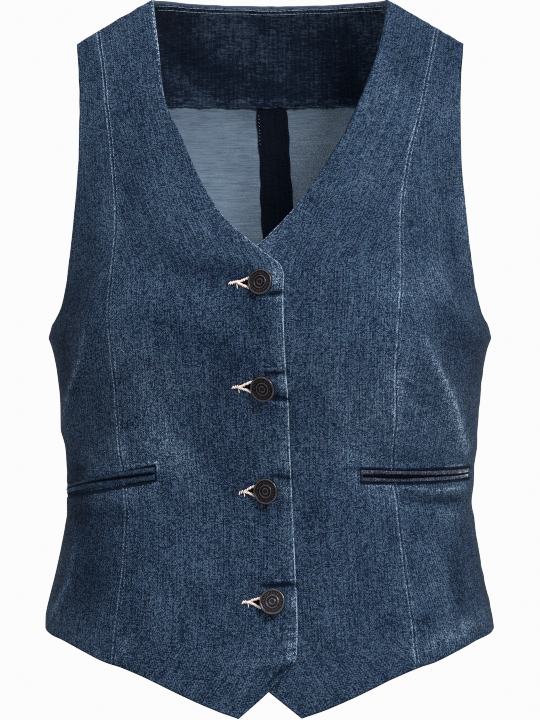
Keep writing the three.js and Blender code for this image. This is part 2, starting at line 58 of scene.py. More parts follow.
NECK_POINT_Z = 17.5
NECK_HALF = 91
SHOULDER_TIP = 151
SHOULDER_SLOPE = 0.611
SHOULDER_ROUND = 40
WALL = 1.6
SECTION_POWER = 2.4
FRONT_ROUND = {"reach": 260, "power": 1.5}
BACK_ROUND = {"reach": 140, "power": 1.6}
BUST = {"x": 88, "drop": 262, "wide": 42, "tall": 48, "height": 5}
UNDERARM = {"drop": 261, "peak": 264, "tall": 9, "round": 1.2, "out": 4.0, "power": 10}
BACK_HEM_DROP = 489.7
UNDERLAP = {"sink": 2.4, "full": 24, "clear": 46}
FACING = {"drop": 78, "inset": 6, "gap": 0.6, "wall": 1, "step": 3}
ALLOWANCE = {"wide": 12.4, "top": 76, "gap": 0.5, "wall": 1, "part": 0.03}
WELT = {"lift": -1.2, "wall": 1.6, "recess": 1.6, "slope": 1.3, "inset": 1.0}
BUTTON = {"cap": 2.9, "stand_off": 5.4, "gap": 0.6}

SECTIONS = table("drop half front back", [
    (-40, 165, 108, 98),
    (150, 166, 111, 98),
    (200, 167.4, 117.5, 97),
    (232, 168.4, 123.5, 94.5),
    (261, 168.2, 126.8, 92),
    (278, 166.8, 126.2, 90.2),
    (295, 164.8, 123.2, 87.8),
    (312, 162.7, 118.6, 84.3),
    (334, 160.6, 112.1, 79.5),
    (361, 158.5, 105.6, 74.5),
    (378, 158, 103.4, 73),
    (404, 158.5, 103.6, 75.5),
    (443, 165, 108.3, 85.5),
    (489, 174, 115, 100),
    (560, 176, 115.5, 101),
])
NECK_EDGE = {
    -1: table("x drop", [(-91, 0), (-86.3, 37.5), (-80.1, 82.7), (-67.5, 111), (-54.1, 142),
                         (-37.3, 169.6), (-18.5, 188.3), (0, 203.2), (7.5, 208.8), (10.7, 216.5)]),
    1: table("x drop", [(91, 0), (85.4, 33.5), (73.9, 67.9), (59.6, 101.6), (46.6, 124.6),
                        (25.4, 156.8), (0, 184.9), (-17, 200), (-22, 206.5), (-23.5, 214)]),
}
FRONT_EDGE = {
    -1: table("x drop", [(10.7, 216.5), (10, 235), (11, 272), (13.7, 312), (15.4, 357),
                         (17.6, 403), (20.2, 460), (20.8, 485), (19.8, 507.5)]),
    1: table("x drop", [(-23.5, 214), (-23.5, 360), (-22, 513)]),
}
CUTAWAY = {
    -1: table("x drop", [(19.8, 507.5), (-1.2, 530.3), (-23.5, 550.3)]),
    1: table("x drop", [(-22, 513), (-1.2, 530.2), (24, 550.4)]),
}


def shoulder_drop(x):
    return SHOULDER_SLOPE * (np.hypot(x, SHOULDER_ROUND) - np.hypot(NECK_HALF, SHOULDER_ROUND))


PRINCESS = {
    -1: table("x drop", [(-134, shoulder_drop(134)), (-128.4, 58), (-124.4, 95), (-120.2, 130), (-117, 175),
                         (-118.8, 205), (-121.8, 245), (-119, 278), (-115.8, 325), (-110.5, 370), (-109, 395),
                         (-112.8, 458), (-118.6, 511.8)]),
    1: table("x drop", [(130, shoulder_drop(130)), (121.9, 60), (114.9, 92), (107.8, 118), (102.5, 145),
                        (99.6, 175), (99.6, 215), (97.2, 250), (95, 290), (95.2, 325), (93.4, 370), (98, 400),
                        (106.5, 471), (111.3, 514.1)]),
}
ARMHOLE_FRONT = table("x drop", [
    (151, shoulder_drop(SHOULDER_TIP)), (148.5, 64), (147.4, 90), (148, 126), (150.5, 163), (155.4, 211),
    (158.3, 229), (160.8, 240), (165.2, 250)])
ARMHOLE_BACK = table("x drop", [
    (151, shoulder_drop(SHOULDER_TIP)), (146.5, 62), (143.5, 95), (142.5, 130), (144, 165), (147.5, 195),
    (153, 222), (159, 240), (164.5, 252)])
HEM = table("x drop", [
    (24, 550.4), (39.5, 545), (64.5, 534.5), (92, 521.7), (112.7, 513.6), (125.5, 509.8), (156, 496.5),
    (170, 492), (174.5, BACK_HEM_DROP)])
SIDE_SEAM = {
    -1: table("angle drop", [(91.5, UNDERARM["drop"]), (95, 300), (98, 360), (98, 420), (92, BACK_HEM_DROP)]),
    1: table("angle drop", [(91, UNDERARM["drop"]), (89, 300), (85.5, 348), (83.5, 375), (84.5, 405),
                            (88, 445), (91.5, BACK_HEM_DROP)]),
}
CENTRE_BACK = table("x drop", [(1, 0), (2, 80), (6, 177), (6.5, 260), (3, 378), (0, BACK_HEM_DROP)])
FOLDS = table("x0 drop0 x1 drop1 wide height", [
    (-139, 258, -158, 334, 9, 2.6),
    (114, 262, 150, 348, 9, 2.6),
    (-149, 424, -168, 478, 9, 2),
    (152, 438, 155, 470, 8, -1.6),
    (108, 388, 154, 391, 7, -1.6),
    (-75, 300, -140, 330, 16, -1.4),
    (40, 330, 96, 352, 16, -1.3),
    (-30, 402, -96, 392, 15, -1.2),
])
WELTS = {
    -1: {"x": -87.3, "drop": 361, "turn": 88, "outer_drop": 377.8, "lip": 5.8, "outer_lip": 4.4,
         "sag": 0, "sink": 0.4, "part": 0.1, "gape": 1.2, "widest": 0.1, "spread": 0.3, "paling": 0.4},
    1: {"x": 69.2, "drop": 363.2, "turn": 75, "outer_drop": 363.4, "lip": 5.2, "outer_lip": 4.4,
        "sag": 1.3, "sink": 0, "part": 0.5, "gape": 1.9, "widest": 0.24, "spread": 0.2, "paling": 0.2},
}
BUTTONS = [
    {"x": -6.4, "drop": 223.8, "turn": 25, "tip": (-24.8, 222.9), "bar": (-30.1, 223.7)},
    {"x": -4.6, "drop": 301.2, "turn": 25, "tip": (-23.4, 301), "bar": (-27.9, 301.2)},
    {"x": -2.2, "drop": 379.5, "turn": 25, "tip": (-19.4, 380), "bar": (-23, 381.2)},
    {"x": 2.5, "drop": 463.2, "turn": 15, "tip": (-16.4, 463), "bar": (-20.4, 463.2)},
]
SIDES = {-1: "right", 1: "left"}  # the wearer's


def smooth(rows, given, wanted):
    """A column of a table as a smooth function of another column, which rises down the table."""
    x, y = rows[given], rows[wanted]
    last = len(x) - 1
    before = np.maximum(np.arange(last + 1) - 1, 0)
    after = np.minimum(np.arange(last + 1) + 1, last)
    slope = (y[after] - y[before]) / (x[after] - x[before])

    def at(value):
        v = np.clip(value, x[0], x[-1])
        i = np.clip(np.searchsorted(x, v, side="right") - 1, 0, last - 1)
        step = x[i + 1] - x[i]
        t = (v - x[i]) / step
        rise = t * t * (3 - 2 * t)
        bend = t * (1 - t) * step * ((1 - t) * slope[i] - t * slope[i + 1])
        return y[i] * (1 - rise) + y[i + 1] * rise + bend

    return at


half_width = smooth(SECTIONS, "drop", "half")
front_depth = smooth(SECTIONS, "drop", "front")
back_depth = smooth(SECTIONS, "drop", "back")
hem_drop = smooth(HEM, "x", "drop")
centre_back_x = smooth(CENTRE_BACK, "drop", "x")


def fall(shape, below):
    """Share of the full depth that a body section has, at a distance down from the shoulder line."""
    t = np.clip(below / shape["reach"], 0, 1)
    return (1 - (1 - t) ** shape["power"]) ** (1 / shape["power"])


def form(turn, drop):
    """Points of the garment's smooth outer form."""
    a = np.radians(turn)
    across = np.minimum(np.abs(np.sin(a)), 1)
    away = np.hypot(drop - UNDERARM["peak"], UNDERARM["round"]) - UNDERARM["round"]
    flare = UNDERARM["out"] * np.exp(-away / UNDERARM["tall"])
    x = (half_width(drop) + flare * across ** UNDERARM["power"]) * np.sin(a)
    rounded = (1 - across**SECTION_POWER) ** (1 / SECTION_POWER)
    below = drop - shoulder_drop(x)
    u = (np.abs(x) - BUST["x"]) / BUST["wide"]
    v = (drop - BUST["drop"]) / BUST["tall"]
    bust = BUST["height"] * np.exp(-u * u - v * v)
    front = -(front_depth(drop) + bust) * rounded * fall(FRONT_ROUND, below)
    back = back_depth(drop) * rounded * fall(BACK_ROUND, below)
    return np.stack([x, np.where(np.cos(a) >= 0, front, back), NECK_POINT_Z - drop], -1)


def unit(v):
    return v / np.maximum(np.linalg.norm(v, axis=-1, keepdims=True), 1e-9)


def normal(turn, drop):
    """Outward normals of the form. On the shoulder line they have no part to the front or back."""
    here = form(turn, drop)
    n = unit(np.cross(form(turn, drop + 0.5) - here, form(turn + 0.2, drop) - form(turn - 0.2, drop)))
    on_line = drop - shoulder_drop(here[..., 0]) < 0.05
    n[..., 1] = np.where(on_line, 0, n[..., 1])
    return unit(n)


def front_turn(x, drop):
    return np.degrees(np.arcsin(np.clip(x / half_width(drop), -1, 1)))


def back_turn(x, drop):
    return 180 - front_turn(x, drop)


def side_back_turn(side, angle):
    """The turn of a place on the back, from its angle round that side of the body."""
    return angle if side > 0 else 360 - angle


# Relief: folds, creases, seam puckers and the unevenness of cloth, as heights over the form.

SIDE_DEGREE = 2.6  # millimetres for each degree round the body, near the side

# Smaller creases on the front: soft ridges, or troughs where the height is below 0.
CREASES = table("x0 drop0 x1 drop1 wide height", [
    # the ridges that are rubbed pale, from the underarms down to the waist and above the hem
    (-138.9, 262, -142.7, 281.8, 3.5, 0.6),
    (-142.7, 281.8, -150.7, 301.1, 3, 0.8),
    (-150.7, 301.1, -157, 326.5, 3.2, 0.6),
    (114.6, 265.8, 124.3, 283, 3.5, 0.5),
    (124.3, 283, 135.9, 306.8, 2.6, 0.9),
    (135.9, 306.8, 143, 328.8, 2.6, 0.9),
    (143, 328.8, 148.8, 351.6, 3.4, 0.6),
    (-148, 423, -153.5, 452, 3, 0.5),
    (-153.5, 452, -165.5, 477, 3, 0.6),
    # pulls between the buttons and the front edge
    (-2, 232.4, 11.5, 230, 1.9, -2.0),
    (-4, 293, 12.5, 289.5, 2, -1.8),
    (0, 308, 14, 312, 2.1, -2.0),
    (2, 300, 12, 300, 4, 1.0),
    (2, 366, 17, 370, 2.2, -1.8),
    (3, 376, 15, 379, 4.5, 0.8),
    (-5, 452, 20, 449, 2.3, -1.9),
    (-2, 463, 20, 466, 6, 0.9),
    (-1, 236.5, 11, 234.5, 2.2, 0.7),
    (-2, 297, 11, 294.5, 2, 0.6),
    (1, 312.5, 13, 316.5, 2.2, 0.8),
    (-20, 288, -2, 286, 2.6, 0.5),
    (-6, 455, 19, 453, 2, 0.6),
    # folds round the pockets
    (99, 381, 118, 387.6, 3, -1.1),
    (118, 387.6, 148, 387, 3.4, -1.4),
    (102.6, 377.5, 129, 382.5, 2.6, 0.8),
    (129, 382.5, 150, 381.5, 2.6, 1.0),
    (56, 364, 68, 365, 2.2, -0.8),
    (-98, 384, -120, 391, 4, 0.7),
    (-92, 352, -118, 356, 4, 0.6),
    (-140, 362, -158, 369, 3, -0.9),
    (-136, 398, -158, 402, 4, -0.9),
    # drags across the waist and under the bust
    (-24, 302, -62, 314, 7, -0.5),
    (-20, 380, -70, 372, 8, -0.5),
    (24, 380, 66, 366, 8, 0.5),
    (-30, 224, -66, 240, 8, -0.4),
    (-96, 262, -128, 280, 7, 0.6),
    (-92, 284, -132, 305, 8, -0.5),
    (-104, 345, -150, 356, 8, 0.6),
    (-100, 395, -146, 404, 9, -0.7),
    (92, 236, 120, 262, 9, -0.5),
    (100, 300, 134, 322, 8, -0.6),
    (104, 338, 146, 358, 7, 0.5),
    (88, 376, 122, 392, 6, 0.5),
    (124, 396, 150, 404, 5, 0.7),
    (-96, 470, -132, 482, 10, -0.6),
    (92, 452, 128, 470, 10, 0.6),
    (-60, 440, -88, 500, 12, 0.6),
    (30, 470, 58, 520, 12, -0.6),
    (-30, 480, -46, 530, 11, -0.5),
    # shoulders and armholes
    (-104, 40, -116, 108, 9, -0.6),
    (100, 44, 106, 96, 9, -0.5),
    (-138, 180, -150, 236, 6, -0.8),
    (136, 176, 150, 238, 6, -0.8),
    (-126, 210, -140, 252, 6, 0.6),
    (122, 205, 140, 250, 6, 0.7),
])

# Creases on the back and the sides, by turn in degrees in place of x.
BACK_CREASES = table("turn0 drop0 turn1 drop1 wide height", [
    (104, 300, 128, 338, 9, 1.2),
    (108, 330, 138, 356, 8, -1.1),
    (112, 362, 150, 370, 10, 1.1),
    (110, 392, 144, 388, 8, -1.2),
    (106, 420, 132, 404, 9, 0.9),
    (256, 296, 236, 330, 9, 1.3),
    (252, 322, 222, 352, 8, -1.2),
    (250, 356, 214, 366, 9, 1.0),
    (254, 384, 220, 384, 8, -1.1),
    (252, 412, 230, 400, 10, 1.0),
    (158, 352, 202, 360, 12, -1.0),
    (164, 384, 196, 378, 10, 0.9),
    (128, 120, 146, 176, 14, -1.0),
    (236, 112, 216, 170, 14, -0.9),
    (112, 196, 124, 250, 9, -1.1),
    (250, 200, 238, 252, 9, -1.1),
    (120, 228, 140, 262, 8, 0.9),
    (244, 226, 224, 264, 8, 0.8),
    (150, 56, 168, 84, 12, 0.8),
    (208, 60, 194, 88, 12, 0.7),
    (98, 440, 104, 482, 7, -0.9),
    (262, 436, 256, 480, 7, -1.0),
    (140, 450, 150, 486, 14, 0.9),
    (214, 446, 206, 484, 14, 0.9),
])

for end in "01":
    BACK_CREASES["x" + end] = BACK_CREASES["turn" + end] * SIDE_DEGREE


def segment_distance(x, drop, x0, drop0, x1, drop1):
    """How far points are from a segment, and their share of the way along it."""
    dx, dd = x1 - x0, drop1 - drop0
    t = np.clip(((x - x0) * dx + (drop - drop0) * dd) / (dx * dx + dd * dd), 0, 1)
    return np.hypot(x - x0 - t * dx, drop - drop0 - t * dd), t


def ridges(x, drop, rows, fade=0.0):
    """Heights of a table's ridges. A fade of 1 lets each one run out to nothing at its two ends."""
    height = np.zeros_like(x)
    for x0, d0, x1, d1, wide, high in zip(
        rows["x0"], rows["drop0"], rows["x1"], rows["drop1"], rows["wide"], rows["height"]
    ):
        away, t = segment_distance(x, drop, x0, d0, x1, d1)
        height += high * np.exp(-((away / wide) ** 2)) * (1 - fade * (2 * t - 1) ** 4 * 0.7)
    return height


def unrolled_x(turn, drop):
    """The x of a place on the front, running on evenly past the sides."""
    signed = (turn + 180) % 360 - 180
    beyond = np.maximum(np.abs(signed) - 90, 0)
    x = half_width(drop) * np.sin(np.radians(np.clip(signed, -90, 90)))
    return x + np.sign(signed) * beyond * SIDE_DEGREE


def noise(turn, drop, cells_round, cell_drop, seed):
    """Smooth noise from -1 to 1 that closes on itself round the body."""
    lattice = np.random.default_rng(seed).uniform(-1, 1, (cells_round, 997))
    u = turn / 360 * cells_round
    v = drop / cell_drop + 200
    i, j = np.floor(u).astype(int), np.floor(v).astype(int)
    s, t = u - i, v - j
    s, t = s * s * (3 - 2 * s), t * t * (3 - 2 * t)

    def at(a, b):
        return lattice[(i + a) % cells_round, (j + b) % 997]

    return (at(0, 0) * (1 - s) + at(1, 0) * s) * (1 - t) + (at(0, 1) * (1 - s) + at(1, 1) * s) * t


FRONT_CURL = {"lip": 0.5, "lip_wide": 2.6, "dip": -0.4, "dip_at": 9, "dip_wide": 5}
FRONT_CURL_REACH = {"half": 30, "side_fade": 8, "top": 214, "top_fade": 20}
UNEVEN = ((0.55, 26, 46), (0.28, 60, 21), (0.10, 150, 8))  # height, cells round the body, a cell's length
SEAM_RIDGE = {"out": 1.7, "wide": 1.1, "height": 0.28}  # cloth stands up beside a seam
PUCKER = {"reach": 5.5, "height": 0.42, "cells": 150, "length": 6.5}
HEM_PUCKER = {"reach": 9, "height": 0.3, "cells": 120, "length": 9}


def pocket_outer_x(side):
    """The x of a pocket's outer end."""
    welt = WELTS[side]
    return side * half_width(welt["outer_drop"]) * math.sin(math.radians(welt["turn"]))


def pocket_top(side, share):
    """The drop of a pocket's top and the height of each lip, at a share of the way to its outer end."""
    welt = WELTS[side]
    sag = welt["sag"] * np.sin(np.pi * np.clip(share, 0, 1))
    top = welt["drop"] * (1 - share) + welt["outer_drop"] * share + sag
    return top, welt["lip"] * (1 - share) + welt["outer_lip"] * share


def pocket_recess(x, drop):
    """How far the cloth is let in round the pockets' lips."""
    depth = np.zeros_like(x)
    for side, welt in WELTS.items():
        outer = pocket_outer_x(side)
        t = (x - welt["x"]) / (outer - welt["x"])
        top, high = pocket_top(side, t)
        ends = np.minimum(t, 1.01 - t) * abs(outer - welt["x"])
        inside = np.minimum.reduce([drop - top, top + 2 * high - drop, ends])
        depth += np.clip(inside / WELT["slope"] + 0.5, 0, 1)
    return -WELT["recess"] * depth


def relief(turn, drop, seam, edge):
    """Height over the form, from the place and its distances from the nearest seam and free edge."""
    x = unrolled_x(turn, drop)
    large = ridges(x, drop, FOLDS)
    fine = ridges(x, drop, CREASES, fade=1)
    fine += ridges((turn % 360) * SIDE_DEGREE, drop, BACK_CREASES, fade=1)
    for seed, (height, cells, length) in enumerate(UNEVEN, 1):
        fine += height * noise(turn, drop, cells, length, seed)
    beside = np.exp(-seam / PUCKER["reach"])
    fine += PUCKER["height"] * beside * noise(turn, drop, PUCKER["cells"], PUCKER["length"], 4)
    fine += SEAM_RIDGE["height"] * np.exp(-(((seam - SEAM_RIDGE["out"]) / SEAM_RIDGE["wide"]) ** 2))
    curl, reach = FRONT_CURL, FRONT_CURL_REACH
    front = np.clip((reach["half"] - np.abs(x)) / reach["side_fade"], 0, 1)
    front = front * np.clip((drop - reach["top"]) / reach["top_fade"], 0, 1)
    fine += front * curl["lip"] * np.exp(-((edge / curl["lip_wide"]) ** 2))
    fine += front * curl["dip"] * np.exp(-(((edge - curl["dip_at"]) / curl["dip_wide"]) ** 2))
    roped = np.exp(-edge / HEM_PUCKER["reach"])
    fine += HEM_PUCKER["height"] * roped * noise(turn, drop, HEM_PUCKER["cells"], HEM_PUCKER["length"], 5)
    return large + fine, fine


# Broad places on the front made paler, or darker where the amount is below 0: mostly painted light and shade,
# with some places rubbed pale.
SHADE_AND_WEAR = table("x0 drop0 x1 drop1 wide height", [
    # left half, from the neck down
    (-147, 92, -140, 145, 9, 0.05),
    (-83, 92, -53, 153, 10, -0.07),
    (-121, 149, -113, 209, 8, 0.06),
    (-140, 170, -130, 225, 10, -0.06),
    (-82, 160, -62, 196, 11, 0.07),
    (-75, 164, -38, 184, 9, 0.05),
    (-79, 207, -11, 219, 10, -0.15),
    (-91, 245, -15, 285, 13, -0.13),
    (-34, 232, 2, 262, 11, -0.12),
    (-60, 213, -6, 222, 9, -0.10),
    (-45, 274, 8, 284, 12, -0.08),
    (-48, 300, -20, 292, 14, -0.05),
    (-116, 272, -80, 324, 13, 0.13),
    (-98, 268, -62, 318, 12, 0.06),
    (-83, 326, -49, 387, 15, 0.16),
    (-106, 330, -90, 345, 9, 0.05),
    (-92, 378, -80, 392, 8, 0.08),
    (-46, 364, -38, 384, 7, 0.06),
    (-90, 340, -82, 356, 9, 0.05),
    (-126, 214, -150, 250, 12, -0.10),
    (-162, 256, -153, 310, 10, -0.16),
    (-140, 225, -140, 330, 16, -0.09),
    (-150, 340, -160, 400, 12, -0.08),
    (-136, 288, -132, 318, 12, 0.06),
    (-136, 392, -112, 450, 26, -0.10),
    (-118, 472, -116, 490, 10, 0.06),
    (-74, 412, -40, 450, 14, 0.04),
    (-150, 366, -150, 432, 14, -0.12),
    (-147, 387, -128, 462, 16, -0.08),
    (-140, 430, -150, 480, 18, -0.12),
    (-83, 440, -30, 490, 16, -0.06),
    (-75, 455, -15, 440, 18, -0.04),
    (-44, 240, -40, 500, 34, -0.04),
    (-144, 268, -152, 306, 5, 0.06),
    # right half, from the neck down
    (102, 66, 98, 81, 8, 0.06),
    (66, 105, 90, 160, 20, -0.03),
    (84, 56, 110, 74, 15, 0.09),
    (151, 140, 156, 230, 8, 0.05),
    (76, 232, 88, 254, 10, -0.04),
    (122, 70, 130, 200, 24, 0.04),
    (8, 179, 45, 172, 9, 0.05),
    (22, 217, 28, 258, 7, -0.08),
    (112, 210, 128, 250, 20, 0.06),
    (95, 100, 105, 480, 42, 0.06),
    (146, 70, 148, 170, 9, 0.08),
    (40, 170, 45, 230, 22, 0.06),
    (22, 311, 60, 341, 14, 0.06),
    (124, 283, 136, 307, 5, 0.07),
    (136, 307, 145, 345, 5, 0.07),
    (120, 366, 150, 380, 7, 0.12),
    (52, 366, 54, 380, 7, -0.07),
    (94, 284, 112, 326, 11, 0.08),
    (46, 308, 66, 334, 12, 0.04),
    (133, 252, 142, 296, 8, -0.05),
    (116, 464, 122, 498, 8, -0.05),
    (122, 410, 132, 456, 8, 0.05),
    (50, 508, 58, 526, 9, 0.04),
    (108, 330, 122, 352, 9, -0.07),
    (146, 340, 148, 356, 5, 0.08),
    (120, 386, 150, 400, 9, 0.05),
    (128, 238, 150, 268, 8, -0.13),
    (151, 258, 160, 304, 8, -0.07),
    (50, 280, 60, 340, 24, 0.03),
    (94, 288, 113, 341, 12, 0.07),
    (138, 300, 145, 356, 9, 0.07),
    (45, 341, 98, 398, 10, 0.10),
    (83, 353, 113, 355, 5, -0.14),
    (22, 372, 45, 410, 14, -0.06),
    (22, 425, 53, 455, 14, -0.04),
    (141, 426, 146, 478, 6, -0.16),
    (102, 503, 151, 485, 10, 0.17),
    (144, 484, 166, 482, 8, 0.14),
    (-40, 496, -18, 534, 12, 0.05),
    # the strip along the front edge, with painted light where it is puffed up between its buttons, and
    # painted shade round each button
    (4, 240, 8, 290, 5, 0.10),
    (6, 318, 11, 362, 5, 0.12),
    (8, 392, 14, 444, 6, 0.12),
    (12, 474, 17, 506, 5, 0.16),
    (2, 213, 5, 225, 4.5, 0.26),
    (8, 296, 12, 305, 3, 0.20),
    (9, 377, 14, 385, 3.6, 0.16),
    (15, 456, 19, 469, 2.6, 0.22),
    (-16, 222, -4, 234, 9, -0.08),
    (-14, 300, -2, 312, 9, -0.08),
    (-12, 380, 0, 390, 9, -0.08),
    (-8, 464, 4, 474, 9, -0.08),
    # painted shade in the puckers beside the seams, and a painted highlight on one
    (104, 176, 110, 177, 2.4, -0.14),
    (106, 206, 111, 207, 2.4, -0.10),
    (101, 300, 109, 301, 2.6, -0.16),
    (100, 322, 108, 323, 2.6, -0.16),
    (-112, 330, -104, 331, 2.6, -0.10),
    (-113, 402, -106, 404, 3, -0.12),
    (114, 476, 121, 478, 3, -0.16),
    (-107, 490, -113, 505, 4, 0.16),
])

# Narrow lines on the front, drawn in the material itself: pale where rubbed, painted shade in creases, and
# painted highlights on the ridges beside some of them.
SHADED_AND_RUBBED_LINES = table("x0 drop0 x1 drop1 wide height", [
    # the rubbed ridges from the underarms, and the one above the hem
    (-138.9, 262, -142.7, 281.8, 2.2, 0.10),
    (-142.7, 281.8, -146.7, 291.3, 1.9, 0.13),
    (-146.7, 291.3, -150.7, 301.1, 1.8, 0.14),
    (-150.7, 301.1, -154.2, 311, 1.8, 0.13),
    (-154.2, 311, -157, 326.5, 2.0, 0.1),
    (114.6, 265.8, 124.3, 283, 2.8, 0.06),
    (124.3, 283, 130.5, 296.2, 2.0, 0.10),
    (130.5, 296.2, 135.9, 306.8, 1.6, 0.13),
    (135.9, 306.8, 139.4, 316.7, 1.5, 0.15),
    (139.4, 316.7, 143, 328.8, 1.5, 0.16),
    (143, 328.8, 148.8, 351.6, 1.9, 0.12),
    (-148, 423, -153.5, 452, 1.8, 0.12),
    (-153.5, 452, -165.5, 477, 1.8, 0.14),
    # pale rubbed edges of the pockets and of the folds by them, and painted shade in the creases beside some
    (134, 362.6, 148, 361.4, 1.0, 0.28),
    (73, 375.8, 92, 375.6, 0.9, 0.2),
    (102, 377, 129, 380.5, 1.3, 0.14),
    (129, 380.5, 150, 378, 1.3, 0.16),
    (98, 384, 116, 389.5, 1.6, -0.1),
    (116, 389.5, 148, 388.6, 1.6, -0.12),
    (56, 363.5, 68, 362.5, 1.2, -0.16),
    (-90.5, 359.4, -86, 358.6, 1.3, 0.4),
    (-85.4, 360, -84.6, 364, 0.8, 0.3),
    (-88, 374, -84, 374.4, 1.3, 0.36),
    (-112, 361.6, -92, 358.6, 1.0, 0.12),
    (-134, 382, -96, 376.6, 1.6, 0.08),
    # creases between the buttons and the front edge and by the cut-away corner, each with painted shade in it
    # and a painted highlight on the ridge beside it
    (-1, 231.4, 9.7, 230, 1.1, -0.34),
    (-10, 234.9, 9.7, 234.2, 1.0, 0.19),
    (-2, 288, 10.5, 288.2, 1.1, 0.23),
    (-3, 290.6, 12.3, 291.2, 1.0, -0.3),
    (3, 309.4, 13.6, 310.6, 1.2, -0.28),
    (1, 313, 13, 314.2, 1.2, 0.17),
    (2, 365.4, 14.6, 366.8, 1.1, 0.19),
    (1, 368, 15, 370.2, 1.1, -0.32),
    (10, 392.4, 16, 393.2, 1.0, -0.16),
    (4, 446.6, 19.4, 446.2, 1.1, 0.17),
    (-5, 450.4, 19.6, 449.8, 1.1, -0.36),
    (14, 483.2, 20, 482.6, 0.9, -0.16),
    (14, 486.4, 20.2, 485.8, 0.9, 0.14),
    (13, 490.4, 20.2, 489.2, 0.8, -0.14),
    (14, 494.2, 20.2, 493.2, 0.9, 0.17),
    (13, 499.4, 20, 497.4, 0.9, -0.14),
    (16, 508.8, 8, 514.6, 1.8, -0.34),
    (8, 514.6, -1, 524.5, 1.7, -0.26),
    (14.4, 504.4, 18.6, 506.2, 1.7, 0.24),
    (-4, 512, 8, 514, 3, -0.12),
])


# Painted light and shade on the neck facing, as broad places made paler or darker, where x runs from the
# centre back.
FACING_LIGHT_AND_SHADE = table("x0 drop0 x1 drop1 wide height", [
    (14, 9, 88, 9, 10, 0.12),
    (-57, 15, -20, 16, 9, 0.13),
    (-20, 30, 30, 60, 16, 0.05),
    (-78, 54, -52, 72, 9, 0.16),
    (-90, 8, -68, 34, 13, -0.16),
    (-72, 34, -40, 52, 6, -0.08),
    (58, 22, 64, 62, 10, -0.14),
])


def pocket_ditches():
    """The stitched lines round each pocket's two lips, as segments, along which a painted shadow is drawn in
    the grooves.
    """
    rows = []
    for side, welt in WELTS.items():
        share = np.linspace(0, 1, 7)
        x = welt["x"] * (1 - share) + pocket_outer_x(side) * share
        top, high = pocket_top(side, share)
        foot = top + 2 * high
        rows.append((x[0], top[0], x[0], foot[0]))
        for drop in (top, foot):
            rows += list(zip(x[:-1], drop[:-1], x[1:], drop[1:]))
    return rows


DITCHES = pocket_ditches()


def ditch_distance(x, drop):
    return np.minimum.reduce([np.full_like(x, 60), *(segment_distance(x, drop, *row)[0] for row in DITCHES)])


# Lines on the form, and panels between them.

DEGREE_LENGTH = 2.4  # of a degree round the body, where a line is smoothed between its points
FINE = (0.12, 0.35, 0.75, 1.3, 2.0, 3.0, 4.4, 6.2)  # steps in from an edge that is rolled or sewn


def spread(length, count, start=(), end=()):
    """Distances along a length: fine steps from its start and to its end, and even ones between."""
    first = np.array([0, *start])
    last = length - np.array([0, *end])[::-1]
    return np.concatenate([first, np.linspace(first[-1], last[0], count + 2)[1:-1], last])


class Line:
    """A smooth line over the form, through places given by turn and drop, walked in millimetres."""

    def __init__(self, turn, drop, samples=700):
        points = np.stack([np.asarray(turn, float) * DEGREE_LENGTH, drop], 1)
        last = len(points) - 1
        p = np.linspace(0, 1, samples) ** 1.6 * last
        i = np.minimum(p.astype(int), last - 1)
        t = (p - i)[:, None]
        a, b, c, d = (points[np.clip(i + k, 0, last)] for k in (-1, 0, 1, 2))
        v0, v1 = (c - a) / 2, (d - b) / 2
        q = (2 * b - 2 * c + v0 + v1) * t**3 + (-3 * b + 3 * c - 2 * v0 - v1) * t**2 + v0 * t + b
        self.set(q[:, 0] / DEGREE_LENGTH, q[:, 1])

    def set(self, turn, drop):
        self.turn, self.drop = turn, drop
        steps = np.linalg.norm(np.diff(form(turn, drop), axis=0), axis=1)
        self.walk = np.concatenate([[0], np.cumsum(steps)])
        self.length = self.walk[-1]

    def at(self, walk):
        return np.stack([np.interp(walk, self.walk, self.turn), np.interp(walk, self.walk, self.drop)], -1)

    def split(self, *drops):
        """The stretches of a line between these drops."""
        cuts = [0, *(np.interp(d, self.drop, self.walk) for d in drops), self.length]
        return [(self, a, b) for a, b in zip(cuts, cuts[1:])]


def whole(line):
    return (line, 0, line.length)


def rows_down(stretches, counts):
    """Places down an edge made of stretches of lines, with so many even steps in each."""
    places = []
    for n, ((line, a, b), count) in enumerate(zip(stretches, counts)):
        top = () if n else FINE
        foot = FINE if n == len(counts) - 1 else ()
        walk = spread(b - a, count, top, foot)[(1 if n else 0):]
        places.append(line.at(a + walk))
    return np.concatenate(places)


def columns_across(inner, outer, counts, station=None):
    """For each row, the shares of the way across at which its points lie."""
    t = np.linspace(0, 1, 25)[:, None]
    shares = []
    for a, b in zip(inner, outer):
        place = a * (1 - t) + b * t
        width = np.linalg.norm(np.diff(form(place[:, 0], place[:, 1]), axis=0), axis=1).sum()
        squeeze = min(1, width / (3 * FINE[-1]))
        fine = [squeeze * f for f in FINE]
        if station is None:
            shares.append(spread(width, counts, fine, fine) / width)
        else:
            near = spread(width * station, counts[0], fine, ())
            far = spread(width * (1 - station), counts[1], (), fine) + width * station
            shares.append(np.concatenate([near, far[1:]]) / width)
    return np.array(shares)


def patch(inner, outer, shares, top, foot):
    """Places over a panel, from its two edges and the lines across its top and foot."""
    v = np.linspace(0, 1, len(inner))[:, None, None]
    u = shares[..., None]

    def bent(line):
        ends = line(np.array([0.0, 1.0]))
        return line(shares) - ends[0] * (1 - u) - ends[1] * u

    return inner[:, None] * (1 - u) + outer[:, None] * u + (1 - v) * bent(top) + v * bent(foot)


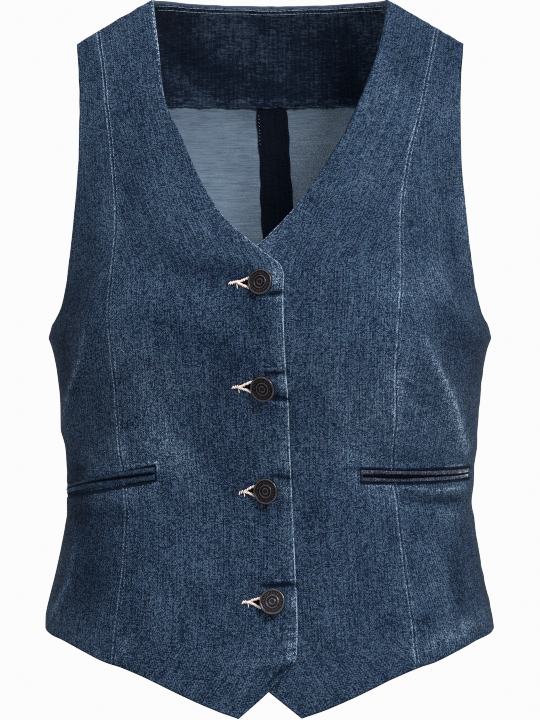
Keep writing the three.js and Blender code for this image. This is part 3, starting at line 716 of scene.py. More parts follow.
def steps_between(points, axis):
    """Distances from the first and from the last point along an axis of a grid."""
    length = np.linalg.norm(np.diff(points, axis=axis), axis=-1)
    pad = np.zeros_like(np.take(length, [0], axis=axis))
    total = np.concatenate([pad, np.cumsum(length, axis=axis)], axis=axis)
    return total, np.take(total, [-1], axis=axis) - total


def from_stretch(away, along, held):
    """Distances from the part of a border where held is true, given those from its whole length."""
    if not held.any():
        return np.full_like(away, 1e3)
    gap = np.abs(along[:, None] - along[None, held]).min(1)
    return np.hypot(away, gap[:, None])


class Panel:
    """The places of a cut piece, with each one's distances from its seams and from its free edges."""

    def __init__(self, places, free_inner, free_outer, free_top, free_foot=True):
        self.turn, self.drop = places[..., 0], places[..., 1]
        base = form(self.turn, self.drop)
        left, right = steps_between(base, 1)
        above, below = steps_between(base, 0)
        rows, columns = self.turn.shape
        sides = [
            (left, above[:, 0], np.broadcast_to(free_inner, rows), False),
            (right, above[:, -1], np.broadcast_to(free_outer, rows), False),
            (above, left[0], np.broadcast_to(free_top, columns), True),
            (below, left[-1], np.broadcast_to(free_foot, columns), True),
        ]
        self.border = np.minimum.reduce([left, right, above, below])
        self.edge = np.full_like(self.border, 1e3)
        self.seam = np.full_like(self.border, 1e3)
        for away, along, free, across in sides:
            a = away.T if across else away
            to_edge = from_stretch(a, along, free)
            to_seam = from_stretch(a, along, ~free)
            self.edge = np.minimum(self.edge, to_edge.T if across else to_edge)
            self.seam = np.minimum(self.seam, to_seam.T if across else to_seam)
        self.left, self.above = left, above


DENSITY = 1.0


def many(count):
    return max(3, round(count * DENSITY))


FRONT_ROWS = (many(118), many(176), many(14))  # even steps down the neck, front edge and cut-away corner
FRONT_COLUMNS = many(88)
SIDE_ROWS = (many(112), many(112))
SIDE_COLUMNS = many(54)
BACK_COLUMNS = (many(50), many(30))


# Drops at which a panel's lines are divided, so that its rows run level.
CUTAWAY_TOP = 488
ARMHOLE_FOOT = {"front": 252, "back": 256}


def princess_line(side):
    rows = PRINCESS[side]
    return Line(front_turn(rows["x"], rows["drop"]), rows["drop"])


def side_seam_line(side, on_back):
    rows = SIDE_SEAM[side]
    turn = side_back_turn(side, rows["angle"]) if on_back else side * rows["angle"]
    return Line(turn, rows["drop"])


def armhole_line(side, on_back):
    rows = ARMHOLE_BACK if on_back else ARMHOLE_FRONT
    x, drop = side * rows["x"], rows["drop"]
    turn = back_turn(x, drop) if on_back else front_turn(x, drop)
    seam = side_seam_line(side, on_back)
    return Line(np.append(turn, seam.turn[0]), np.append(drop, seam.drop[0]))


def places_on(turn_of, x, drop):
    return np.stack([turn_of(x, drop), drop], -1)


def front_centre_panel(side):
    lines = [Line(front_turn(rows["x"], rows["drop"]), rows["drop"])
             for rows in (NECK_EDGE[side], FRONT_EDGE[side], CUTAWAY[side])]
    inner = rows_down([whole(line) for line in lines], FRONT_ROWS)
    outer = rows_down(princess_line(side).split(lines[0].drop[-1], CUTAWAY_TOP), FRONT_ROWS)
    top_x, foot_x = ([form(*inner[k])[0], form(*outer[k])[0]] for k in (0, -1))

    def top(u):
        x = top_x[0] * (1 - u) + top_x[1] * u
        return places_on(front_turn, x, shoulder_drop(x))

    def foot(u):
        x = foot_x[0] * (1 - u) + foot_x[1] * u
        return places_on(front_turn, x, hem_drop(np.abs(x)))

    shares = columns_across(inner, outer, FRONT_COLUMNS)
    return Panel(patch(inner, outer, shares, top, foot), True, False, False)


def front_side_panel(side):
    inner = rows_down(princess_line(side).split(ARMHOLE_FOOT["front"]), SIDE_ROWS)
    outer = rows_down([whole(armhole_line(side, False)), whole(side_seam_line(side, False))], SIDE_ROWS)
    top_x = [form(*inner[0])[0], form(*outer[0])[0]]

    def top(u):
        x = top_x[0] * (1 - u) + top_x[1] * u
        return places_on(front_turn, x, shoulder_drop(x))

    def foot(u):
        turn = inner[-1, 0] * (1 - u) + outer[-1, 0] * u
        x = half_width(BACK_HEM_DROP) * np.sin(np.radians(np.minimum(np.abs(turn), 90)))
        return np.stack([turn, hem_drop(x)], -1)

    shares = columns_across(inner, outer, SIDE_COLUMNS)
    armhole_rows = np.arange(len(outer)) <= SIDE_ROWS[0] + len(FINE) + 1
    return Panel(patch(inner, outer, shares, top, foot), False, armhole_rows, False)


def back_panel(side):
    drops = np.linspace(0, BACK_HEM_DROP, 60)
    centre = Line(back_turn(centre_back_x(drops), drops), drops)
    inner = rows_down(centre.split(ARMHOLE_FOOT["back"]), SIDE_ROWS)
    outer = rows_down([whole(armhole_line(side, True)), whole(side_seam_line(side, True))], SIDE_ROWS)
    start, stop = (form(*line[0])[0] for line in (inner, outer))
    station = (side * NECK_HALF - start) / (stop - start)

    def top(u):
        x = start * (1 - u) + stop * u
        drop = np.where(np.abs(x) <= NECK_HALF, 0, shoulder_drop(x))
        return places_on(back_turn, x, drop)

    def foot(u):
        turn = inner[-1, 0] * (1 - u) + outer[-1, 0] * u
        return np.stack([turn, np.full_like(turn, BACK_HEM_DROP)], -1)

    shares = columns_across(inner, outer, BACK_COLUMNS, station)
    armhole_rows = np.arange(len(outer)) <= SIDE_ROWS[0] + len(FINE) + 1
    neck_columns = np.arange(shares.shape[1]) <= BACK_COLUMNS[0] + len(FINE) + 1
    return Panel(patch(inner, outer, shares, top, foot), False, armhole_rows, neck_columns)


# Meshes.


def new_object(name, points, faces, materials, face_material=None, attributes=None):
    """A mesh object at the origin, from points in millimetres."""
    mesh = bpy.data.meshes.new(name)
    groups = faces if isinstance(faces, list) else [faces]
    groups = [group.tolist() if isinstance(group, np.ndarray) else group for group in groups]
    every = [face for group in groups for face in group]
    mesh.from_pydata((np.asarray(points) * MM).tolist(), [], every)
    for material in materials:
        mesh.materials.append(material)
    if face_material is not None:
        mesh.polygons.foreach_set("material_index", np.asarray(face_material, np.int32))
    mesh.polygons.foreach_set("use_smooth", np.full(len(mesh.polygons), True))
    for key, values in (attributes or {}).items():
        values = np.asarray(values, np.float32)
        kind = "FLOAT_VECTOR" if values.ndim == 2 else "FLOAT"
        layer = mesh.attributes.new(key, kind, "POINT")
        layer.data.foreach_set("vector" if values.ndim == 2 else "value", values.ravel())
    mesh.update()
    made = bpy.data.objects.new(name, mesh)
    bpy.context.scene.collection.objects.link(made)
    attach(made, "root")
    return made


def grid_faces(index, flip=False):
    a, b, c, d = index[:-1, :-1], index[:-1, 1:], index[1:, 1:], index[1:, :-1]
    quads = np.stack([a, d, c, b] if flip else [a, b, c, d], -1)
    return quads.reshape(-1, 4)


def cloth_coordinates(turn, drop, seed):
    """Where a place is on the flat cloth, in millimetres across and down, and a number for its piece."""
    middle = turn.shape[0] // 3
    base = form(turn, drop)
    left, _ = steps_between(base, 1)
    above, _ = steps_between(base, 0)
    column = turn.shape[1] // 2
    across = left - left[:, [column]]
    down = above[:, [column]] + (drop - drop[:, [column]])
    offset = form(turn[[middle]], drop[[middle]])[0, column, 0]
    return np.stack([across + offset, down, np.full_like(turn, seed)], -1)


BACK_PLACE = 1000  # added to x on the back, which keeps it clear of the lines drawn on the front
SEAM_DEPTH = 0.3  # of the wall's rounding, where two pieces meet at a seam
TURNED = {"wide": 13, "thick": 0.5, "step": 0.8}  # the hem turned in along each free edge


def shell(name, panel, materials, seed, lift=0.0, wall=WALL, turned=True, edging=1.0, seam_rub=0.6):
    """A thin closed shell on a panel's places, with its border rolled round."""
    turn, drop = panel.turn, panel.drop
    base, n = form(turn, drop), normal(turn, drop)
    height, fine = relief(turn, drop, panel.seam, panel.edge)
    height = height + pocket_recess(unrolled_x(turn, drop), drop)
    radius = wall / 2
    into = radius - np.minimum(panel.border, radius)
    roll = radius - np.sqrt(np.maximum(radius**2 - into**2, 0))
    extra = 0.0
    if turned:
        extra = TURNED["thick"] * np.clip(0.5 + (TURNED["wide"] - panel.edge) / TURNED["step"], 0, 1)
        extra = extra * np.clip((panel.border - radius) / radius, 0, 1)
    shallow = np.where(panel.seam < panel.edge, SEAM_DEPTH, 1)
    outside = base + n * (height + lift - roll * shallow)[..., None]
    inside = base + n * (height + lift - wall + roll - extra)[..., None]
    rows, columns = turn.shape
    front = np.arange(rows * columns).reshape(rows, columns)
    behind = front.copy()
    behind[1:-1, 1:-1] = rows * columns + np.arange((rows - 2) * (columns - 2)).reshape(rows - 2, columns - 2)
    points = np.concatenate([outside.reshape(-1, 3), inside[1:-1, 1:-1].reshape(-1, 3)])
    k, j = rows // 2, columns // 2
    corner = outside[k, j]
    facing = np.cross(outside[k, j + 1] - corner, outside[k + 1, j + 1] - corner) @ n[k, j]
    faces = [grid_faces(front, facing < 0), grid_faces(behind, facing > 0)]
    count = (rows - 1) * (columns - 1)

    def both(values):
        return np.concatenate([values.reshape(-1, 3), values[1:-1, 1:-1].reshape(-1, 3)])

    x = unrolled_x(turn, drop)
    # The front's broad painted light and shade, with some places rubbed pale, and the distance from the
    # grooves round the pocket lips, where a painted shadow is drawn.
    worn = ridges(x, drop, SHADE_AND_WEAR, fade=1)
    fields = np.stack([np.minimum(panel.edge, 500), np.minimum(panel.seam, 500), fine], -1)
    rubbed = np.stack([worn, ditch_distance(x, drop), np.broadcast_to(edging, x.shape)], -1)
    if abs(turn.mean() - 180) < 90:
        x = base[..., 0] + BACK_PLACE
    place = np.stack([x, drop, np.broadcast_to(seam_rub, x.shape)], -1)
    cloth = cloth_coordinates(turn, drop, seed)
    attributes = {"cloth": cloth, "wear": fields, "rubbed": rubbed, "place": place}
    attributes = {key: both(values) for key, values in attributes.items()}
    made = new_object(name, points, faces, materials, np.repeat([0, 1], count), attributes)
    made["flat_width"] = float(panel.left[:, -1].max())
    made["flat_length"] = float(panel.above[-1].max())
    one, other = base[1:, 1:] - base[:-1, :-1], base[1:, :-1] - base[:-1, 1:]
    made["flat_area"] = float(np.linalg.norm(np.cross(one, other), axis=-1).sum() / 2)
    return made


# Materials, made of nodes in the cloth's own millimetres.


class Value:
    """A number in a material's nodes, for use in sums."""

    def __init__(self, nodes, socket):
        self.nodes, self.socket = nodes, socket

    def math(self, operation, *others):
        return self.nodes.math(operation, self, *others)

    def __add__(self, other):
        return self.math("ADD", other)

    def __mul__(self, other):
        return self.math("MULTIPLY", other)

    def __sub__(self, other):
        return self.math("SUBTRACT", other)

    def __rsub__(self, other):
        return self.nodes.math("SUBTRACT", other, self)

    def __truediv__(self, other):
        return self.math("DIVIDE", other)

    def __rtruediv__(self, other):
        return self.nodes.math("DIVIDE", other, self)

    __radd__, __rmul__ = __add__, __mul__

    def floor(self):
        return self.math("FLOOR")

    def fract(self):
        return self.math("FRACT")

    def fading(self, reach):
        """1 at zero, falling away over a reach."""
        return (self * (-1 / reach)).math("EXPONENT")

    def bell(self, middle, wide):
        away = (self - middle) / wide
        return (away * away * -1).math("EXPONENT")

    def kept(self, low=0.0, high=1.0):
        return self.math("MAXIMUM", low).math("MINIMUM", high)


class Nodes:
    """The nodes of one material."""

    def __init__(self, name, **settings):
        self.material = bpy.data.materials.new(name)
        self.material.use_nodes = True
        self.tree = self.material.node_tree
        self.shader = self.tree.nodes["Principled BSDF"]
        for key, value in settings.items():
            self.shader.inputs[key.replace("_", " ").title().replace("Ior", "IOR")].default_value = value

    def add(self, kind, feeds=(), **settings):
        node = self.tree.nodes.new(kind)
        for key, value in settings.items():
            setattr(node, key, value)
        for key, value in dict(feeds).items():
            self.feed(node.inputs[key], value)
        return node

    def feed(self, socket, value):
        if isinstance(value, Value):
            value = value.socket
        if isinstance(value, bpy.types.NodeSocket):
            self.tree.links.new(value, socket)
        else:
            socket.default_value = value

    def math(self, operation, *values):
        node = self.add("ShaderNodeMath", enumerate(values), operation=operation)
        return Value(self, node.outputs[0])

    def attribute(self, name):
        node = self.add("ShaderNodeAttribute", attribute_name=name)
        parts = self.add("ShaderNodeSeparateXYZ", {0: node.outputs["Vector"]})
        return [Value(self, out) for out in parts.outputs]

    def place(self):
        """Where a point is in its object, in millimetres."""
        node = self.add("ShaderNodeTexCoord")
        parts = self.add("ShaderNodeSeparateXYZ", {0: node.outputs["Object"]})
        return [Value(self, out) / MM for out in parts.outputs]

    def number(self, name):
        return Value(self, self.add("ShaderNodeAttribute", attribute_name=name).outputs["Fac"])

    def noise(self, x, y, z, detail=1.0):
        """Noise round 0, from about -1 to 1."""
        place = self.add("ShaderNodeCombineXYZ", {0: x, 1: y, 2: z})
        feeds = {"Vector": place.outputs[0], "Scale": 1.0, "Detail": detail, "Roughness": 0.6}
        node = self.add("ShaderNodeTexNoise", feeds)
        return (Value(self, node.outputs[0]) - 0.5) * 3.2

    def noises(self, p, q, seed, rows):
        """A table's noises. Its rows give the size across and down, the seed's factor, and the detail."""
        return [
            self.noise(p / across, q / down, seed * factor, detail)
            for across, down, factor, detail in rows.values()
        ]

    def speckle(self, x, y, z):
        """A random number from -1 to 1 for each whole step of x, y and z."""
        place = self.add("ShaderNodeCombineXYZ", {0: x, 1: y, 2: z})
        node = self.add("ShaderNodeTexWhiteNoise", {"Vector": place.outputs[0]})
        return (Value(self, node.outputs[0]) - 0.5) * 2

    def ramp(self, value, stops):
        node = self.add("ShaderNodeValToRGB", {0: value})
        elements = node.color_ramp.elements
        while len(elements) < len(stops):
            elements.new(0.5)
        for element, (position, colour) in zip(elements, stops):
            element.position = position
            element.color = (*colour, 1)
        return node.outputs[0]

    def tinted(self, colour, hue, saturation):
        feeds = {"Color": colour, "Hue": hue, "Saturation": saturation}
        return self.add("ShaderNodeHueSaturation", feeds).outputs[0]

    def bump(self, height):
        """Relief from a height in millimetres."""
        node = self.add("ShaderNodeBump", {"Strength": 1.0, "Distance": MM, "Height": height})
        self.feed(self.shader.inputs["Normal"], node.outputs[0])

    def colour(self, socket):
        self.feed(self.shader.inputs["Base Color"], socket)


YARN = {"warp": 0.42, "weft": 0.55, "repeat": 4}
DENIM_TONES = [
    (0.0, (0.0018, 0.005, 0.0125)),
    (0.25, (0.0068, 0.016, 0.036)),
    (0.5, (0.0238, 0.046, 0.0855)),
    (0.75, (0.066, 0.107, 0.167)),
    (1.0, (0.260, 0.350, 0.440)),
]
LIP_TONES = [
    (0.0, (0.003, 0.004, 0.010)),
    (0.25, (0.008, 0.012, 0.024)),
    (0.5, (0.028, 0.037, 0.062)),
    (0.75, (0.090, 0.110, 0.150)),
    (1.0, (0.400, 0.450, 0.500)),
]
WRONG_SIDE_TONES = [
    (0.0, (0.050, 0.075, 0.115)),
    (0.5, (0.190, 0.265, 0.350)),
    (1.0, (0.520, 0.600, 0.660)),
]
DARK_TONES = [
    (0.0, (0.001, 0.002, 0.005)),
    (0.5, (0.006, 0.012, 0.027)),
    (1.0, (0.060, 0.095, 0.150)),
]


# Noise in the cloth: its size in millimetres across and down, the factor of the piece's seed, and its detail.
DENIM_NOISE = {
    "fine": (0.74, 0.54, 3.7, 0),
    "streak": (1.0, 22, 7.3, 1),
    "weft": (6, 0.8, 4.9, 1),
    "band": (2.6, 36, 6.1, 2),
    "shade": (42, 64, 2.9, 1),
    "cloud": (26, 15, 1.9, 2),
    "patchy": (4.2, 3.1, 2.3, 2),
    "broken": (2.2, 3.5, 9.1, 2),
    "tint": (3, 5, 8.3, 2),
}
DARK_NOISE = {
    "weft": (7, 1.5, 4.9, 2),
    "streak": (1.7, 12, 7.3, 1),
    "band": (9, 60, 6.1, 1),
    "cloud": (34, 22, 1.9, 3),
    "patchy": (6, 2.4, 2.3, 2),
    "broken": (5, 1.6, 9.1, 2),
}
WRONG_SIDE_NOISE = {
    "weft": (15, 1.1, 3.1, 2),
    "thread": (9, 0.7, 5.3, 1),
    "fine": (0.9, 0.8, 4.3, 0),
    "cloud": (26, 16, 1.7, 3),
}


def twill(nodes, p, q, seed):
    """A twill: its slanting wales, the roundness of the warp and a difference at each crossing."""
    warp, weft = p / YARN["warp"], q / YARN["weft"]
    slope = nodes.noise(p / 14, q / 14, seed * 1.3) * 0.35
    wale = ((warp + weft + slope) * (2 * math.pi / YARN["repeat"])).math("COSINE")
    across = warp.fract() - 0.5
    dome = 1 - across * across * 4
    cross = nodes.speckle((warp / 2.1).floor(), (weft / 1.3).floor(), seed)
    return wale, dome, cross


def drawn(x, drop, rows):
    """The sum of a table's narrow lines, each a soft stroke along its segment."""
    total = 0.0
    for x0, d0, x1, d1, wide, high in zip(
        rows["x0"], rows["drop0"], rows["x1"], rows["drop1"], rows["wide"], rows["height"]
    ):
        dx, dd = x1 - x0, d1 - d0
        share = 1 / (dx * dx + dd * dd)
        way = (x * (dx * share) + drop * (dd * share) - (x0 * dx + d0 * dd) * share).kept()
        a, b = x - x0 - way * dx, drop - d0 - way * dd
        total = ((a * a + b * b) * (-1 / wide**2)).math("EXPONENT") * high + total
    return total


def denim_material(name, tones, level, grain, mottle=0.02, rows=None):
    """Denim's right side: its tone comes from twill, yarn, dye and rubbing, with painted light and shade over
    broad places, in creases, in grooves and along rolled edges.
    """
    nodes = Nodes(name, roughness=0.9, sheen_weight=0.015, sheen_roughness=0.5, specular_ior_level=0.06)
    p, q, seed = nodes.attribute("cloth")
    edge, seam, rise = nodes.attribute("wear")
    worn, ditch, edging = nodes.attribute("rubbed")
    x, drop, seam_rub = nodes.attribute("place")
    wale, dome, cross = twill(nodes, p, q, seed)
    noises = nodes.noises(p, q, seed, DENIM_NOISE)
    fine, streak, weft, band, shade, cloud, patchy, broken, tint = noises
    slant = nodes.noise((p - q) / 3.4, (p + q) / 1.2, seed * 5.1)
    comb = ((p / 2.2 + band * 0.3) * (2 * math.pi)).math("COSINE") * (cloud * 0.5 + 0.6).kept(0, 1.3)
    # worn brings the front's broad painted light and shade, with some places rubbed pale.
    rub = worn + edging * edge.bell(0.4, 0.55) * (0.62 + broken * 0.2)
    rub = rub + edging * edge.bell(3, 3) * (0.05 + patchy * 0.1)
    rub = rub + seam.bell(1.4, 0.7) * seam_rub * (0.17 + broken * 0.18 + cloud * 0.06)
    rub = rub + seam.fading(9) * patchy * 0.12
    # Troughs of the fine relief are darkened as painted shade; its crests are made paler, as rubbed.
    rub = rub + rise.kept(-3, 0) * 0.13 + rise.kept(0, 3) * 0.08
    # The narrow lines: pale rubbed lines, painted shade in creases and painted highlights beside them.
    if rows is not None:
        rub = rub + drawn(x, drop, rows) * (broken * 0.15 + 1)
    # Darker: a line along each seam's join, a painted shadow in the grooves round the pocket lips, and
    # painted shade along free edges where they roll under, less where they are rubbed.
    dark = seam.bell(0, 0.5) * 0.14 + 0.66 / (1 + ((ditch - 1.3) * 4).math("EXPONENT"))
    dark = dark + edge.bell(0, 0.9) * (0.46 - edging * 0.38)
    speck = fine * (grain * 0.34) + cross * (grain * 0.78) + slant * (grain * 0.06) + wale * (grain * 0.2)
    lines = streak * (grain * 0.38) + weft * (grain * 0.2) + band * 0.03 + comb * (grain * 0.26)
    yarn = (speck + lines).kept(-0.8, 0.34) * (1.02 - (x / 60).kept() * 0.08)
    tone = yarn + shade * (mottle * 1.6) + cloud * mottle + patchy * (mottle * 0.4) + rub - dark + level
    nodes.colour(nodes.tinted(nodes.ramp(tone.kept(), tones), tint * 0.022 + 0.5, patchy * 0.08 + 1))
    nodes.bump(dome * 0.04 + fine * 0.05 + slant * 0.03 + wale * 0.05)
    return nodes.material


def dark_material(name, level, contrast):
    """The dark, hardly worn side of the cloth, with its weft in fine level lines, and painted light and shade
    over the neck facing.
    """
    nodes = Nodes(name, roughness=0.92, sheen_weight=0.03, sheen_roughness=0.5, specular_ior_level=0.06)
    p, q, seed = nodes.attribute("cloth")
    edge, _, _ = nodes.attribute("wear")
    _, _, edging = nodes.attribute("rubbed")
    x, drop, _ = nodes.attribute("place")
    wale, dome, cross = twill(nodes, p, q, seed)
    weft, streak, band, cloud, patchy, broken = nodes.noises(p, q, seed, DARK_NOISE)
    comb = (p * (2 * math.pi / 3.7)).math("COSINE")
    rub = edging * edge.bell(0.8, 0.9) * (0.26 + broken * 0.45)
    # Painted light and shade over the neck facing, from its table.
    rub = rub + drawn(x - BACK_PLACE, drop, FACING_LIGHT_AND_SHADE) * (edging - 0.2)
    rub = rub + edging * edge.bell(6, 3) * (0.09 + patchy * 0.18)
    # A painted lighter band across the upper part of the facing.
    rub = rub + edging * drop.bell(26, 18) * (0.06 + patchy * 0.06)
    grain = cross * 0.1 + wale * 0.03 + weft * 0.2 + streak * 0.09 + comb * 0.03 + patchy * 0.04
    tone = (grain + band * 0.05 + cloud * 0.1) * contrast + rub + level
    nodes.colour(nodes.ramp(tone.kept(), DARK_TONES))
    nodes.bump(dome * 0.04 + weft * 0.05 + wale * 0.03)
    return nodes.material


def wrong_side_material(name):
    """Denim's wrong side, pale with its weft, and dark where the hem is turned in along the edges. Painted
    shade lies under the neck facing and beside the centre-back allowances, painted light towards the wearer's
    left, and a painted shadow line where the turned hem ends.
    """
    nodes = Nodes(name, roughness=0.92, sheen_weight=0.1, sheen_roughness=0.5, specular_ior_level=0.18)
    p, q, seed = nodes.attribute("cloth")
    edge, _, _ = nodes.attribute("wear")
    x, drop, _ = nodes.attribute("place")
    _, dome, cross = twill(nodes, p, q, seed)
    weft, thread, fine, cloud = nodes.noises(p, q, seed, WRONG_SIDE_NOISE)
    turned = 1 / (1 + ((edge - TURNED["wide"]) * 5).math("EXPONENT"))
    tone = weft * 0.15 + thread * 0.08 + fine * 0.03 + cross * 0.02 + cloud * 0.08 + 0.35
    # The turned hem is dark denim; a painted shadow line is drawn where it ends.
    tone = tone - turned * 0.42 - edge.bell(TURNED["wide"], 0.6) * 0.12
    across = x - BACK_PLACE
    # Painted shade under the neck facing and beside the centre-back allowances, and painted light towards the
    # wearer's left.
    tone = tone - drop.bell(FACING["drop"], 14) * 0.12 + (across / 50).kept() * 0.12 - 0.05
    tone = tone - across.bell(-18, 11) * 0.09 - across.bell(20, 9) * 0.04
    nodes.colour(nodes.ramp(tone.kept(), WRONG_SIDE_TONES))
    nodes.bump(dome * 0.04 + weft * 0.05 + fine * 0.04)
    return nodes.material


def thread_material(name, colour, dark, roughness=0.7):
    nodes = Nodes(name, roughness=roughness, sheen_weight=0.2, specular_ior_level=0.3)
    x, y, z = nodes.place()
    ply = ((x * 0.7 + z * 1.3 + y * 0.4) * 9).math("SINE")
    shade = nodes.noise(x / 1.6, y / 1.6, z / 1.6, 2)
    nodes.colour(nodes.ramp((shade * 0.25 + ply * 0.12 + 0.5).kept(), [(0, dark), (1, colour)]))
    nodes.bump(ply * 0.04)
    return nodes.material


def metal_material(name):
    """Dark plated metal, rubbed bright on what stands up."""
    nodes = Nodes(name, metallic=1.0, specular_ior_level=0.5)
    x, y, z = nodes.place()
    spots = nodes.noise(x / 1.3, y / 1.3, z / 1.3, 3)
    fine = nodes.noise(x / 0.35, y / 0.35, z / 0.35, 2)
    high = nodes.number("rub")
    tone = high * 0.55 + spots * 0.1 + fine * 0.08 + 0.2
    stops = [(0.0, (0.004, 0.0036, 0.0045)), (0.45, (0.018, 0.016, 0.019)), (1.0, (0.105, 0.098, 0.108))]
    nodes.colour(nodes.ramp(tone.kept(), stops))
    nodes.feed(nodes.shader.inputs["Roughness"], (spots * 0.08 - high * 0.08 + 0.4).kept(0.15, 0.8))
    nodes.bump(fine * 0.03 + spots * 0.04)
    return nodes.material


def plain_material(name, colour, roughness=0.9):
    nodes = Nodes(name, roughness=roughness, specular_ior_level=0.02)
    x, y, z = nodes.place()
    cloud = nodes.noise(x / 3, y / 3, z / 3, 2)
    nodes.colour(nodes.ramp((cloud * 0.3 + 0.5).kept(), [(0, [c * 0.7 for c in colour]), (1, colour)]))
    return nodes.material


denim = denim_material("denim", DENIM_TONES, level=0.38, grain=0.42, rows=SHADED_AND_RUBBED_LINES)
dark_side = dark_material("dark_side", 0.42, 1.25)
turned_side = dark_material("turned_side", 0.09, 0.5)
lip_sides = {
    -1: denim_material("lip_right", DENIM_TONES, level=0.33, grain=0.3),
    1: denim_material("lip_left", LIP_TONES, level=0.49, grain=0.26),
}
wrong_side = wrong_side_material("wrong_side")
pale_thread = thread_material("pale_thread", (0.50, 0.58, 0.66), (0.22, 0.29, 0.37))
blue_thread = thread_material("blue_thread", (0.34, 0.43, 0.54), (0.13, 0.18, 0.25))
cream_thread = thread_material("cream_thread", (1.0, 0.92, 0.87), (0.5, 0.33, 0.27))
metal = metal_material("gunmetal")
# Near black, for the sheets that stand in for the shadow in the pocket mouths and buttonholes: painted
# shadow.
painted_shadow = plain_material("painted_shadow", (0.002, 0.0025, 0.004))


# The cut pieces.

def underlap(panel):
    """How deep a front lies under the other one, as a lift of its places."""
    x = form(panel.turn, panel.drop)[..., 0]
    t = np.clip((x - UNDERLAP["full"]) / (UNDERLAP["clear"] - UNDERLAP["full"]), 0, 1)
    return -UNDERLAP["sink"] * (1 - t * t * (3 - 2 * t))


def seam_rubbing(panel, strength, at_top):
    """How much a panel's seams are rubbed, more so near the shoulder."""
    return strength + (at_top - strength) * np.clip((150 - panel.drop) / 60, 0, 1)


def declared(made, node):
    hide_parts(node)
    wide, long = made["flat_width"] * MM, made["flat_length"] * MM
    area = made["flat_area"] * MM * MM
    wide = max(wide, area / long / 0.98)
    return made


# How much a front's free edge is rubbed: all down the front, less up the neck, hardly at the hem. The
# neck column is a share of the side's own amount.
FRONT_EDGING = table("drop amount neck", [
    (0, 0, 1),
    (40, 0, 1),
    (60, 0, 0.6),
    (130, 0, 0.6),
    (170, 0.7, 0),
    (205, 1, 0),
    (500, 1, 0),
    (508, 0.1, 0),
    (600, 0.1, 0),
])
# That amount for each side, and how much its seams are rubbed, as a whole and near the shoulder.
FRONT_RUB = {
    -1: {"neck": 0.9, "centre": (0.4, 1.2), "outer": (1.0, 1.5)},
    1: {"neck": 0.15, "centre": (1.3, 1.3), "outer": (0.4, 0.6)},
}


def front_edging(panel, neck):
    amount = FRONT_EDGING["amount"] + neck * FRONT_EDGING["neck"]
    return np.interp(panel.drop, FRONT_EDGING["drop"], amount)


for k, (side, name) in enumerate(SIDES.items()):
    centre, outer = front_centre_panel(side), front_side_panel(side)
    lift = underlap(centre) if side > 0 else 0.0
    rub = FRONT_RUB[side]
    made = shell(f"front_centre_{name}_cloth", centre, [denim, wrong_side], 1 + k, lift=lift,
                 edging=front_edging(centre, rub["neck"]), seam_rub=seam_rubbing(centre, *rub["centre"]))
    declared(made, f"front_centre_{name}")
    made = shell(f"front_side_{name}_cloth", outer, [denim, wrong_side], 3 + k,
                 edging=0.15, seam_rub=seam_rubbing(outer, *rub["outer"]))
    declared(made, f"front_side_{name}")
    made = shell(f"back_{name}_cloth", back_panel(side), [denim, wrong_side], 5 + k, edging=0.15)
    declared(made, f"back_{name}")


# Places on the worn surface, and lines beside other lines.


def on_surface(turn, drop, lift=0.0, seam=60.0, edge=60.0):
    """Points on the worn cloth, and the directions out of it."""
    turn, drop = np.asarray(turn, float), np.asarray(drop, float)
    height, _ = relief(turn, drop, np.full_like(turn, seam), np.full_like(turn, edge))
    out = normal(turn, drop)
    return form(turn, drop) + out * (height + lift)[..., None], out


def beside(line, distance):
    """A line beside another: to the wearer's left of it on the front, where the distance is above 0."""
    here = form(line.turn, line.drop)
    by_turn = (form(line.turn + 0.1, line.drop) - here) / 0.1
    by_drop = (form(line.turn, line.drop + 0.1) - here) / 0.1
    way = unit(np.cross(normal(line.turn, line.drop), np.gradient(here, axis=0))) * distance
    tt, dd, td = (by_turn**2).sum(-1), (by_drop**2).sum(-1), (by_turn * by_drop).sum(-1)
    wt, wd = (way * by_turn).sum(-1), (way * by_drop).sum(-1)
    share = tt * dd - td * td
    made = Line([0, 1], [0, 1], samples=2)
    made.set(line.turn + (wt * dd - wd * td) / share, line.drop + (wd * tt - wt * td) / share)
    return made


# Sewing, as small rounded stitches joined into a few meshes.

# For each ring of a stitch, its share of the way along and its share of the radius.
STITCH_RINGS = ((0.04, 0.45), (0.2, 0.92), (0.5, 1.0), (0.8, 0.92), (0.96, 0.45))
STITCH_SIDES = 6
CLEAR_OF_POCKET = -0.3  # no stitch starts where the cloth is let in deeper than this


